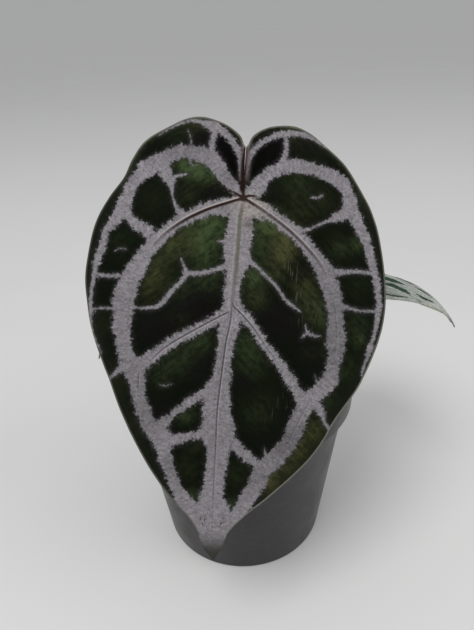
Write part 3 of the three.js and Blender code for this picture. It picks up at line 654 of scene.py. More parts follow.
def smooth_line(points, count=None, step=BAND_STEP, measured=2):
    """Evenly spaced points on a smooth curve through the given ones. The spacing is measured on the first
    columns, and the others go with them."""
    p = np.asarray(points, float)
    p = np.vstack([2 * p[0] - p[1], p, 2 * p[-1] - p[-2]])
    t = np.linspace(0, 1, 16, endpoint=False)[:, None]
    parts = []
    for a, b, c, d in zip(p, p[1:], p[2:], p[3:]):
        leave, arrive = (c - a) / 2, (d - b) / 2
        square, cube = 3 * (c - b) - 2 * leave - arrive, 2 * (b - c) + leave + arrive
        parts.append(b + leave * t + square * t**2 + cube * t**3)
    dense = np.vstack([*parts, p[-2:-1]])
    walked = np.insert(np.cumsum(np.linalg.norm(np.diff(dense[:, :measured], axis=0), axis=1)), 0, 0)
    if count is None:
        count = max(2, round(walked[-1] / step))
    even = np.linspace(0, walked[-1], count + 1)
    return np.column_stack([np.interp(even, walked, column) for column in dense.T])


def nearest_on(places, line, by_width=False):
    """For each place in the plan its distance to a line, its side of it, the way along it and the value
    there. By width, the nearest point is the one whose band reaches furthest over the place."""
    count = len(places)
    best = np.full(count, np.inf)
    distance, side, along, value = (np.zeros(count) for _ in range(4))
    walked = 0.0
    for start, end in zip(line, line[1:]):
        way = end[:2] - start[:2]
        length = math.hypot(*way)
        reach = places - start[:2]
        at = np.clip(reach @ way / length**2, 0, 1)
        off = reach - at[:, None] * way
        far = np.hypot(off[:, 0], off[:, 1])
        here = start[2] + at * (end[2] - start[2]) if len(start) > 2 else np.zeros(count)
        score = far - here if by_width else far
        closer = score < best
        best[closer] = score[closer]
        distance[closer] = far[closer]
        cross = way[0] * reach[:, 1] - way[1] * reach[:, 0]
        side[closer] = np.where(cross[closer] < 0, -1, 1)
        along[closer] = walked + at[closer] * length
        value[closer] = here[closer]
        walked += length
    return distance, side, along, value


def nearest_of(places, lines):
    """Side-signed distance, distance and value for the nearest of several lines, as one vector for each place"""
    best = np.full(len(places), np.inf)
    result = np.zeros((len(places), 3))
    for line in lines:
        distance, side, _, value = nearest_on(places, line)
        closer = distance < best
        best[closer] = distance[closer]
        result[closer] = np.column_stack([side * distance, distance, value])[closer]
    return result


def distance_to(places, lines):
    return np.min([nearest_on(places, line)[0] for line in lines], axis=0)


def bell(off):
    """1 in the middle and nothing from about 2 on"""
    return np.exp(-(off**2))


def rise(values, low, high):
    """0 at low, 1 at high and smooth between"""
    t = np.clip((values - low) / (high - low), 0, 1)
    return t * t * (3 - 2 * t)


EDGES = [smooth_line(edge, 60) for edge in (LEFT_EDGE, RIGHT_EDGE)]
PUFF_LINES = [smooth_line(line, 20) for rank, _, line in RIBS if rank < 2]


class Blade:
    """The form of one blade. Places in the plan are in its own millimetres at full size."""

    def __init__(self, scale, seat, heading, roll, pitch, bend, droop, curl, blunt, stalk, **_):
        self.scale = scale
        self.blunt = blunt
        self.curl = curl
        length = BLADE_LENGTH * scale
        self.down = np.arange(-60, 180, 0.25) * scale
        self.slope = np.radians(pitch + bend * self.down / length + droop * np.maximum(0, self.down / length) ** 4)
        self.spine = []
        for part in (-np.cos(self.slope), -np.sin(self.slope)):
            path = np.insert(np.cumsum((part[1:] + part[:-1]) / 2 * np.diff(self.down)), 0, 0)
            self.spine.append(path - np.interp(0, self.down, path))
        self.matrix = Matrix.Translation(seat) @ rotation(heading, "Z") @ rotation(roll, "Y")
        self.stalk = Vector(stalk).normalized()

    def relief(self, places):
        """Large relief: the valley between the lobes, the puffed cells and the waves along the edge"""
        u, v = places.T
        valley = SINUS_DEPTH * bell(u / SINUS_WIDTH) * rise(-v, 0, SINUS_RISE)
        to_edge = distance_to(places, EDGES)
        puff = PUFF_HEIGHT * rise(to_edge, 0, PUFF_FADE) * (1 - bell(distance_to(places, PUFF_LINES) / PUFF_WIDTH))
        margin = np.maximum(0, 1 - to_edge / WAVE_REACH) ** 2
        return puff + WAVE_HEIGHT * margin * np.sin(WAVE_COUNT * np.arctan2(u, v) + WAVE_START) - valley

    def surface(self, places, detail=0.0):
        """Points of the face, with the detail as a further height at full size"""
        u, v = places.T
        across = u * self.scale * (1 + self.blunt * rise(v, 139, 148))
        down = v * self.scale
        slope = np.interp(down, self.down, self.slope)
        y, z = (np.interp(down, self.down, path) for path in self.spine)
        lift = self.scale * (self.relief(places) + detail) - across**2 / (2 * self.curl)
        points = np.column_stack([across, y - np.sin(slope) * lift, z + np.cos(slope) * lift])
        turn = np.array(self.matrix.to_3x3())
        return points @ turn.T + np.array(self.matrix.translation)

    def normal(self, places):
        step = 0.8
        across = self.surface(places + (step, 0)) - self.surface(places - (step, 0))
        ahead = self.surface(places + (0, step)) - self.surface(places - (0, step))
        normal = np.cross(ahead, across)
        return normal / np.linalg.norm(normal, axis=1)[:, None]


def to_mesh(name, bm):
    mesh = bpy.data.meshes.new(name)
    bm.to_mesh(mesh)
    bm.free()
    return mesh


def add_object(name, data):
    made = bpy.data.objects.new(name, data)
    bpy.context.scene.collection.objects.link(made)
    return made


def rotation(degrees, axis):
    return Matrix.Rotation(math.radians(degrees), 4, axis)


def face_out(bm):
    bmesh.ops.recalc_face_normals(bm, faces=bm.faces)


def of_kind(items, kind):
    return [item for item in items if isinstance(item, kind)]


def make_piece(name, bm, finishes, nodes=()):
    """Turns a bmesh in millimetres into a piece of the plant, in metres, that rides on its body."""
    bmesh.ops.scale(bm, vec=(MM, MM, MM), verts=bm.verts)
    return add_piece(name, to_mesh(name, bm), finishes, nodes)


def add_piece(name, mesh, finishes, nodes=()):
    mesh.shade_smooth()
    for finish in finishes:
        mesh.materials.append(finish)
    old = bpy.data.objects.get(name)
    if old:
        bpy.data.objects.remove(old)
    piece = add_object(name, mesh)
    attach(piece, BODY)
    if nodes:
        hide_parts(*nodes)
    return piece


def turned(bm, profile, steps, centre=(0, 0), closed=False):
    """Turns a profile of radius and height round an upright axis, and closes its poles."""
    corners = [bm.verts.new((centre[0] + r, centre[1], z)) for r, z in profile]
    pairs = list(zip(corners, corners[1:]))
    if closed:
        pairs.append((corners[-1], corners[0]))
    geom = corners + [bm.edges.new(pair) for pair in pairs]
    bmesh.ops.spin(bm, geom=geom, cent=(*centre, 0), axis=(0, 0, 1), angle=math.tau, steps=steps, use_merge=True)
    bmesh.ops.remove_doubles(bm, verts=bm.verts, dist=SAME_PLACE)
    face_out(bm)


def rounded(corners, steps=5):
    """A closed profile with its corners rounded. Each corner is radius, height and the reach of its rounding."""
    profile = []
    for i, (r, z, reach) in enumerate(corners):
        here = Vector((r, z))
        before = Vector(corners[i - 1][:2]) - here
        after = Vector(corners[(i + 1) % len(corners)][:2]) - here
        start, end = here + before.normalized() * reach, here + after.normalized() * reach
        for step in range(steps + 1 if reach else 1):
            t = step / steps
            profile.append(tuple(start * (1 - t) ** 2 + here * 2 * t * (1 - t) + end * t**2))
    return profile


def sweep(bm, line, radii, sides):
    """A rod of changing radius along a line of points, closed at both ends. Its verts carry their way
    round and along it in the layer "way", in millimetres."""
    layer = bm.verts.layers.float_vector.get("way") or bm.verts.layers.float_vector.new("way")
    line = [Vector(point) for point in line]
    steps = [(b - a).normalized() for a, b in zip(line, line[1:])]
    ahead = [steps[0], *[(a + b).normalized() for a, b in zip(steps, steps[1:])], steps[-1]]
    turn = ahead[0].to_track_quat("Z", "Y")
    frames = []
    for point, direction, radius in zip(line, ahead, radii):
        turn = (turn @ Vector((0, 0, 1))).rotation_difference(direction) @ turn
        frames.append(Matrix.LocRotScale(point, turn, Vector((radius, radius, 1))))
    ring = bmesh.ops.create_circle(bm, cap_ends=True, segments=sides, radius=1, matrix=frames[0])["verts"]
    edges = list({edge for vert in ring for edge in vert.link_edges})
    walked = 0
    for i, here in enumerate(frames):
        if i:
            made = bmesh.ops.extrude_edge_only(bm, edges=edges)["geom"]
            ring, edges = of_kind(made, bmesh.types.BMVert), of_kind(made, bmesh.types.BMEdge)
            bmesh.ops.transform(bm, matrix=here @ frames[i - 1].inverted(), verts=ring)
            walked += (line[i] - line[i - 1]).length
        back = here.inverted()
        for vert in ring:
            round_it = back @ vert.co
            vert[layer] = (round_it.x * radii[i], round_it.y * radii[i], walked)
    bmesh.ops.edgeloop_fill(bm, edges=edges)


def roughen(bm, size, amount, seed=0.0):
    """Moves the verts in and out by smooth noise."""
    bm.normal_update()
    shift = Vector((seed, 2 * seed, 3 * seed))
    moves = [vert.normal * amount * noise.noise(vert.co / size + shift) for vert in bm.verts]
    for vert, move in zip(bm.verts, moves):
        vert.co += move


def along(values, fraction):
    return np.interp(fraction * (len(values) - 1), range(len(values)), values)


# Pot

def pot_radius(z):
    return POT_FOOT + POT_TAPER * z / POT_HEIGHT


def pot_finish(pot):
    paint = Paint("pot_plastic")
    place = paint.place()
    _, _, height = paint.parts(place)
    cloud = paint.noise(place, 0.05, 4, 0.6)
    speck = paint.noise(place, 1.1, 3, 0.7)
    runs = paint.strokes(place, (0.22, 0.22, 0.012), 4, 0.65)
    splash = paint.smooth(speck * 0.6 + cloud * 0.7, 0.66, 0.84)
    low = paint.smooth(height, 30, 0) * 0.5 + paint.smooth(height, 84, 100) * 0.25
    film = paint.smooth(runs, 0.52, 0.78) * 0.25 + splash * (0.25 + low)
    scratch = paint.smooth(paint.strokes(place, (0.12, 0.12, 2.5), 2, 0.5), 0.64, 0.7)
    base = paint.layers(pot.plastic, (film, pot.dust), (scratch * 0.35, pot.dust))
    roughness = 0.26 + cloud * 0.16 + film * 0.55 + scratch * 0.1
    grain = paint.noise(place, 3.2, 2, 0.5)
    lines = paint.strokes(place, (0.01, 0.01, 0.9), 3, 0.6)
    relief = grain * 0.02 + cloud * 0.3 + splash * 0.03 - scratch * 0.02 + lines * 0.05
    return paint.finish(base, roughness, relief, specular=0.4)


class PLANT_OT_pot(bpy.types.Operator):
    """Makes the pot with its drained floor"""

    bl_idname = "plant.pot"
    bl_label = "Pot"

    def execute(self, context):
        pot = context.scene.plant_pot
        top, rim, foot, wall = (value / MM for value in (pot.height, pot.rim_radius, pot.base_radius, pot.wall))
        band = top - POT_BAND_HEIGHT
        corners = [
            (foot - POT_LEDGE, 0, 0.8), (foot, 0, 1.4), (pot_radius(band - 1), band - 1, 0.5),
            (rim - POT_BAND_REACH, band, 0.6), (rim, top, 0.75), (pot_radius(top) - wall, top, 0.55),
            (pot_radius(POT_FLOOR) - wall, POT_FLOOR, 1.5), (foot - POT_LEDGE, POT_FLOOR, 0),
        ]
        bm = bmesh.new()
        turned(bm, rounded(corners), POT_SIDES, closed=True)
        plate = bmesh.new()
        bmesh.ops.create_circle(plate, segments=PLATE_SIDES, radius=foot - POT_LEDGE + PLATE_OVERLAP)
        for hole in range(DRAIN_COUNT):
            way = rotation(360 * hole / DRAIN_COUNT, "Z") @ Matrix.Translation((DRAIN_RING_RADIUS, 0, 0))
            bmesh.ops.create_circle(plate, segments=DRAIN_SIDES, radius=DRAIN_RADIUS, matrix=way)
        bmesh.ops.triangle_fill(plate, use_beauty=True, edges=plate.edges)
        bmesh.ops.translate(plate, vec=(0, 0, PLATE_BOTTOM), verts=plate.verts)
        raised = bmesh.ops.extrude_face_region(plate, geom=plate.faces)["geom"]
        bmesh.ops.translate(plate, vec=(0, 0, PLATE_THICKNESS), verts=of_kind(raised, bmesh.types.BMVert))
        face_out(plate)
        sheet = to_mesh("pot_floor", plate)
        bm.from_mesh(sheet)
        bpy.data.meshes.remove(sheet)
        piece = make_piece("pot_shell", bm, [pot_finish(pot)], ["pot"])
        sharpen(piece, 50)
        return {"FINISHED"}


def sharpen(piece, degrees):
    """Keeps the shading crisp on edges sharper than an angle."""
    piece.data.set_sharp_from_angle(angle=math.radians(degrees))


# Potting mix

def mix_height(x, y):
    broad = math.sin(x / 7 + 1) * math.cos(y / 8 - 0.6)
    fine = math.sin(x / 3.1 - y / 4.3) * math.sin(y / 3.7 + 2)
    return MIX_TOP + MIX_LUMP * (broad + 0.6 * fine)


def island_shade(paint, low, high):
    """A brightness for each loose bit of a piece"""
    bit = paint.node("ShaderNodeNewGeometry", out="Random Per Island")
    return low + bit * (high - low)


def soil_finish(mix):
    paint = Paint("fine_mix")
    place = paint.place()
    crumb = paint.noise(place, 0.9, 5, 0.75)
    damp = paint.smooth(paint.noise(place, 0.07, 3, 0.6), 0.35, 0.65)
    fleck = paint.smooth(paint.noise(place, 0.8, 2, 0.5), 0.66, 0.72)
    base = paint.shade(mix.soil, 0.35 + damp * 0.3)
    base = paint.layers(base, (crumb, mix.soil * 1.7), (fleck * 0.7, mix.bark))
    return paint.finish(base, 0.95 - damp * 0.2, crumb * 0.9, specular=0.25)


def bark_finish(mix, name="bark", tint=1.0):
    paint = Paint(name)
    place = paint.place()
    shade = island_shade(paint, 0.45 * tint, 1.5 * tint)
    grain = paint.noise(paint.scaled(place, (1, 1, 3.2)), 0.7, 4, 0.7)
    base = paint.shade(paint.mix(grain, mix.bark * 0.4, mix.bark * 1.25), shade)
    return paint.finish(base, 0.72 + grain * 0.25, grain * 0.5, specular=0.3)


def grain_finish(mix):
    paint = Paint("pumice")
    place = paint.place()
    pit = paint.cells(place, 1.5)
    stain = paint.smooth(paint.noise(place, 0.35, 3, 0.6), 0.45, 0.7)
    base = paint.mix(stain * 0.65, paint.shade(mix.grain, island_shade(paint, 0.65, 1.15)), mix.bark)
    # Painted shade: the grains are darker down in their pits
    base = paint.shade(base, 0.7 + 0.5 * pit)
    return paint.finish(base, 0.9, pit * 0.5, specular=0.2)


def fibre_finish(mix):
    paint = Paint("coconut_fibre")
    round_it = paint.attribute("way", "Vector")
    streak = paint.strokes(round_it, (6, 6, 0.4), 3, 0.6)
    base = paint.shade(mix.fibre, (0.4 + 1.2 * streak) * island_shade(paint, 0.6, 1.3))
    return paint.finish(base, 0.75, streak * 0.08, specular=0.3)


def chip_mesh(rng):
    bm = bmesh.new()
    bmesh.ops.create_cube(bm, size=1)
    bmesh.ops.bevel(
        bm, geom=bm.edges[:], offset=0.13, segments=1, affect="EDGES", profile=0.5, material=-1, clamp_overlap=True,
    )
    for vert in bm.verts:
        vert.co += Vector(rng.uniform(-0.09, 0.09, 3))
        vert.co.x *= 1 + 0.35 * math.sin(3 * vert.co.y + rng.uniform(-0.3, 0.3))
    face_out(bm)
    return to_mesh("chip", bm)


def grain_mesh(rng):
    bm = bmesh.new()
    bmesh.ops.create_icosphere(bm, subdivisions=2, radius=0.5)
    for vert in bm.verts:
        vert.co *= 0.82 + 0.36 * noise.noise(vert.co * 3 + Vector(rng.uniform(0, 9, 3))) + rng.uniform(-0.05, 0.05)
    face_out(bm)
    return to_mesh("grain", bm)


def spots(rng, count, reach):
    """Places scattered over the mix, clear of the stem and its roots' crowns"""
    found = []
    while len(found) < count:
        r, turn = reach * math.sqrt(rng.random()), rng.uniform(0, math.tau)
        x, y = r * math.cos(turn), r * math.sin(turn)
        if math.hypot(x - STEM_AT[0], y - STEM_AT[1]) > STEM_CLEARANCE:
            found.append((x, y))
    return found


def scatter(rng, shapes, places, size_of, lean, sink):
    """Copies of a few shapes laid on the mix"""
    bm = bmesh.new()
    for x, y in places:
        size = Vector(size_of(rng))
        turn = Quaternion((0, 0, 1), rng.uniform(0, math.tau))
        axis = Vector((rng.normal(), rng.normal(), 0.01)).normalized()
        tilt = turn @ Quaternion(axis, rng.normal() * lean)
        matrix = Matrix.LocRotScale(Vector((x, y, mix_height(x, y) + sink * size.z)), tilt, size)
        shape = shapes[rng.integers(len(shapes))]
        shape.transform(matrix)
        bm.from_mesh(shape)
        shape.transform(matrix.inverted())
    for shape in shapes:
        bpy.data.meshes.remove(shape)
    return bm


class PLANT_OT_mix(bpy.types.Operator):
    """Fills the pot with mix and lays bark, charcoal, pumice and fibres on it"""

    bl_idname = "plant.mix"
    bl_label = "Potting mix"

    def execute(self, context):
        mix = context.scene.plant_mix
        wall = context.scene.plant_pot.wall / MM
        inner = pot_radius(MIX_TOP) - wall - GAP
        foot = POT_FLOOR + GAP
        bm = bmesh.new()
        flank = [(pot_radius(z) - wall - GAP, z) for z in (foot + 1, MIX_TOP - 6)]
        top = [((inner - 0.4) * ring / MIX_RINGS, MIX_TOP) for ring in range(MIX_RINGS, -1, -1)]
        turned(bm, [(0, foot), (flank[0][0] - 1, foot), *flank, *top], MIX_SIDES)
        for vert in bm.verts:
            if vert.co.z > MIX_TOP - 0.1:
                place = vert.co.copy()
                crumbs = noise.noise(place / 2.6) * 0.9 + noise.noise(place / 1.1) * 0.5
                vert.co.z = mix_height(place.x, place.y) - 0.5 + crumbs
        make_piece("mix_bed", bm, [soil_finish(mix)], ["potting_mix"])

        rng = np.random.default_rng(mix.seed)
        reach = inner - 3

        def bark_size(rng):
            return rng.uniform(4.5, 11), rng.uniform(3, 6.5), rng.uniform(1.6, 3.4)

        def coal_size(rng):
            return rng.uniform(2, 5), rng.uniform(2, 4), rng.uniform(1.6, 3)

        def grain_size(rng):
            size = rng.uniform(1.6, 4.4)
            return size, size * rng.uniform(0.75, 1), size * rng.uniform(0.7, 1)

        chips = [chip_mesh(rng) for _ in range(6)]
        bm = scatter(rng, chips, spots(rng, mix.chips, reach), bark_size, 0.32, 0.25)
        sharpen(make_piece("mix_bark", bm, [bark_finish(mix)]), 30)
        chips = [chip_mesh(rng) for _ in range(4)]
        bm = scatter(rng, chips, spots(rng, mix.chips // 3, reach + 1), coal_size, 0.6, 0.35)
        sharpen(make_piece("mix_charcoal", bm, [bark_finish(mix, "charcoal", 0.16)]), 30)
        grains = [grain_mesh(rng) for _ in range(6)]
        bm = scatter(rng, grains, spots(rng, mix.grains, reach + 1), grain_size, 0.8, 0.4)
        make_piece("mix_pumice", bm, [grain_finish(mix)])

        bm = bmesh.new()
        for x, y in spots(rng, mix.fibres, reach - 4):
            turn = rng.uniform(0, math.tau)
            bend = rng.normal() * 0.12
            line = []
            for step in range(9):
                if math.hypot(x, y) > reach:
                    break
                line.append((x, y, mix_height(x, y) + 1.1 + 0.9 * math.sin(step * 0.8 + turn)))
                x, y = x + 1.9 * math.cos(turn), y + 1.9 * math.sin(turn)
                turn += bend + rng.normal() * 0.2
            if len(line) > 3:
                thick = rng.uniform(0.1, 0.2)
                sweep(bm, line, [thick * 0.5, *[thick] * (len(line) - 2), thick * 0.4], 4)
        face_out(bm)
        make_piece("mix_fibres", bm, [fibre_finish(mix)])
        return {"FINISHED"}


# Stem, roots and bracts

def stem_finish(stem):
    paint = Paint("stem_bark")
    place = paint.place()
    _, _, height = paint.parts(place)
    cork = paint.noise(paint.scaled(place, (1, 1, 2.2)), 0.5, 5, 0.7)
    scar = paint.cells(paint.scaled(place, (1, 1, 2.6)), 0.32)
    young = paint.smooth(height + cork * 6, 101, 112)
    old = paint.mix(cork, stem.bark * 0.4, stem.bark * 1.9)
    crown = paint.shade(stem.crown, 0.7 + 0.6 * cork)
    base = paint.layers(old, (young, crown), (paint.smooth(scar, 0.22, 0.05) * 0.6, stem.bark * 0.3))
    relief = cork * 0.7 - paint.smooth(scar, 0.25, 0.1) * 0.3
    return paint.finish(base, 0.8 - young * 0.25, relief, specular=0.35)


class PLANT_OT_stem(bpy.types.Operator):
    """Makes the short stem with its leaf scars"""

    bl_idname = "plant.stem"
    bl_label = "Stem"

    def execute(self, context):
        profile = smooth_line(STEM_PROFILE, 64)
        bm = bmesh.new()
        turned(bm, [(0, STEM_PROFILE[0][1]), *profile, (0, STEM_PROFILE[-1][1] + 0.4)], 72, STEM_AT)
        bm.normal_update()
        for vert in bm.verts:
            x, y, z = vert.co.x - STEM_AT[0], vert.co.y - STEM_AT[1], vert.co.z
            turn = math.atan2(y, x)
            ring = math.sin((z + 1.3 * math.sin(turn * 2 + z / 4)) * 1.15) ** 3
            rough = noise.noise(vert.co / 2.4) * 0.45 + noise.noise(vert.co / 0.9) * 0.15
            out = Vector((x, y, 0))
            if out.length > 0.5:
                vert.co += out.normalized() * (0.3 * ring + rough - 0.25)
        make_piece("stem_body", bm, [stem_finish(context.scene.plant_stem)], ["stem"])
        return {"FINISHED"}


def root_finish(stem):
    paint = Paint("aerial_root")
    way = paint.attribute("way", "Vector")
    place = paint.place()
    _, _, height = paint.parts(place)
    skin = paint.noise(paint.scaled(way, (1, 1, 0.4)), 1.3, 4, 0.65)
    patch = paint.noise(place, 0.3, 3, 0.6)
    damp = paint.smooth(height + patch * 6, 95, 88)
    dry = paint.mix(skin, stem.root * 0.55, stem.root * 1.6)
    base = paint.mix(damp * 0.7, dry, paint.shade(stem.root_tip, 0.6 + 0.8 * skin))
    return paint.finish(base, 0.85 - damp * 0.2, skin * 0.35, specular=0.3, sheen=0.15)


class PLANT_OT_roots(bpy.types.Operator):
    """Makes the aerial roots that arch from the stem into the mix"""

    bl_idname = "plant.roots"
    bl_label = "Aerial roots"

    def execute(self, context):
        stem = context.scene.plant_stem
        thick = stem.root_radius / MM
        finish = root_finish(stem)
        for number, (name, (turn, leave, reach)) in enumerate(ROOTS.items()):
            stops = [
                (5, leave), (11, leave + 0.5),
                (reach - 7, MIX_TOP + 2), (reach - 2, MIX_TOP - 5), (reach, MIX_TOP - 12),
            ]
            turn = math.radians(turn)
            points = [(STEM_AT[0] + r * math.cos(turn), STEM_AT[1] + r * math.sin(turn), z) for r, z in stops]
            line = smooth_line(points, step=0.8, measured=3)
            radii = [
                thick * (1 - 0.15 * i / len(line)) * (0.97 + 0.1 * noise.noise(Vector((i * 0.35, number * 5, 0))))
                for i in range(len(line))
            ]
            bm = bmesh.new()
            sweep(bm, line, radii, 18)
            face_out(bm)
            roughen(bm, 1.3, 0.12, number)
            make_piece(f"root_{number + 1}", bm, [finish], [name])
        return {"FINISHED"}


def bract_finish(stem):
    paint = Paint("papery_bract")
    way = paint.attribute("plan", "Vector")
    _, up, _ = paint.parts(way)
    fibre = paint.strokes(way, (9, 0.35, 1), 4, 0.65)
    blotch = paint.noise(way, 0.35, 3, 0.6)
    pale = paint.smooth(fibre, 0.42, 0.62)
    base = paint.layers(
        stem.bract * 0.45,
        (pale, stem.bract * 1.7),
        (paint.smooth(blotch, 0.5, 0.7) * 0.55, stem.bract * 0.25),
        (paint.smooth(up, 7, 0) * 0.4, stem.crown),
    )
    return paint.finish(base, 0.6 + blotch * 0.3, fibre * 0.22, specular=0.35)


def stem_radius(z):
    r, heights = zip(*STEM_PROFILE)
    return float(np.interp(z, heights, r))


class PLANT_OT_bracts(bpy.types.Operator):
    """Makes the papery bracts that wrap the stem"""

    bl_idname = "plant.bracts"
    bl_label = "Papery bracts"

    def execute(self, context):
        stem = context.scene.plant_stem
        finish = bract_finish(stem)
        for number, (name, (turn, foot, height, flare)) in enumerate(BRACTS.items()):
            start = stem_radius(foot) + 1.1
            bm = bmesh.new()
            bmesh.ops.create_grid(bm, x_segments=36, y_segments=60, size=1)
            layer = bm.verts.layers.float_vector.new("plan")
            for vert in bm.verts:
                side, up = vert.co.x, (vert.co.y + 1) / 2
                tear = 0.06 * noise.noise(Vector((side * 2, up * 14, number * 7))) * rise(up, 0.1, 0.5)
                spread = BRACT_SPREAD * math.sqrt(max(0, 1 - 0.92 * up)) * (1 - 0.55 * up**6) * (0.96 + tear)
                angle = math.radians(turn + spread * side)
                crease = noise.noise(Vector((side * 1.5, up * 5, number)))
                ridge = 0.12 * math.sin(side * 17) * (1 - up) + 0.35 * crease
                roll = 0.5 * abs(side) ** 3 * up
                radius = start + flare * up**2 * 0.97 + ridge * 0.5 - roll
                rag = 0.02 * noise.noise(Vector((side * 9, number, 3))) * up
                vert[layer] = (side * spread / 6, up * height, 0)
                vert.co = (
                    STEM_AT[0] + radius * math.cos(angle),
                    STEM_AT[1] + radius * math.sin(angle),
                    foot + height * (up * (0.99 + rag) - 0.1 * up * side**2 * (0.3 + up)),
                )
            piece = make_piece(f"bract_leaf_{number + 1}", bm, [finish], [name])
            thicken(piece, stem.bract_thickness, 0)
        return {"FINISHED"}


def thicken(piece, thickness, offset, **settings):
    wall = piece.modifiers.new("Thickness", "SOLIDIFY")
    wall.thickness = thickness
    wall.offset = offset
    for key, value in settings.items():
        setattr(wall, key, value)


# Stalks

def stalk_finish(stalk):
    paint = Paint("stalk_skin")
    way = paint.attribute("way", "Vector")
    _, _, gone = paint.parts(way)
    streak = paint.strokes(way, (1.3, 1.3, 0.09), 4, 0.6)
    blush = paint.strokes(way, (0.25, 0.25, 0.05), 3, 0.6)
    fleck = paint.smooth(paint.strokes(way, (1.6, 1.6, 0.55), 1, 0.5), 0.66, 0.74)
    knee = paint.attribute("knee")
    low = paint.smooth(gone, 26, 2)
    green = paint.shade(stalk.green, 0.55 + 0.9 * streak)
    red = paint.most(paint.smooth(blush, 0.45, 0.7) * 0.45, paint.most(low * 0.8, knee * 0.7)) * (0.5 + streak)
    base = paint.layers(green, (red, stalk.flush), (fleck * 0.5, stalk.fleck))
    wrinkle = paint.strokes(way, (0.3, 0.3, 1.4), 2, 0.5) * knee
    return paint.finish(base, 0.42 + streak * 0.2, streak * 0.14 + wrinkle * 0.3, specular=0.4)


class PLANT_OT_stalks(bpy.types.Operator):
    """Makes the stalks, each with the knee under its blade"""

    bl_idname = "plant.stalks"
    bl_label = "Stalks"

    def execute(self, context):
        finish = stalk_finish(context.scene.plant_stalk)
        for name, (leaf, way, radii) in STALKS.items():
            blade = Blade(**BLADES[leaf])
            seat = blade.matrix.translation
            reach = CAD_BLADE_THICKNESS + SEAT_HEIGHT
            inward = -Vector(blade.normal(np.array([[0.0, 0.0]]))[0])
            neck = [seat + blade.stalk * (reach + GAP + 8), seat + blade.stalk * (reach + GAP)]
            entry = [seat + blade.stalk * 0.72 * reach, seat + inward * 0.45 * reach, seat + inward * 1.3]
            points = [*way, *[tuple(point) for point in neck + entry]]
            line = smooth_line(points, step=1.2, measured=3)
            walked = np.insert(np.cumsum(np.linalg.norm(np.diff(line, axis=0), axis=1)), 0, 0)
            long = walked[-1] - reach
            thick = along(radii, np.clip(walked / long, 0, 1))
            knee = bell((walked - long + 4) / 6)
            thick = thick * (1 + 0.05 * knee) + 0.5 * np.exp(-walked / 5)
            bm = bmesh.new()
            sweep(bm, line, thick, 28)
            face_out(bm)
            layer = bm.verts.layers.float_vector["way"]
            swollen = bm.verts.layers.float.new("knee")
            for vert in bm.verts:
                x, y, gone = vert[layer]
                at = bell((gone - long + 4) / 6)
                vert[swollen] = at
                turn = math.atan2(y, x)
                groove = 0.09 * math.sin(turn * 5 + 0.02 * gone) * (1 - at)
                fold = 0.1 * math.sin(gone * 2.6 + 0.6 * math.sin(turn)) * at
                vert.co += vert.normal * (groove + fold)
            roughen(bm, 6, 0.18, long)
            make_piece(name.replace("petiole", "stalk"), bm, [finish], [name])
        return {"FINISHED"}


# Blades

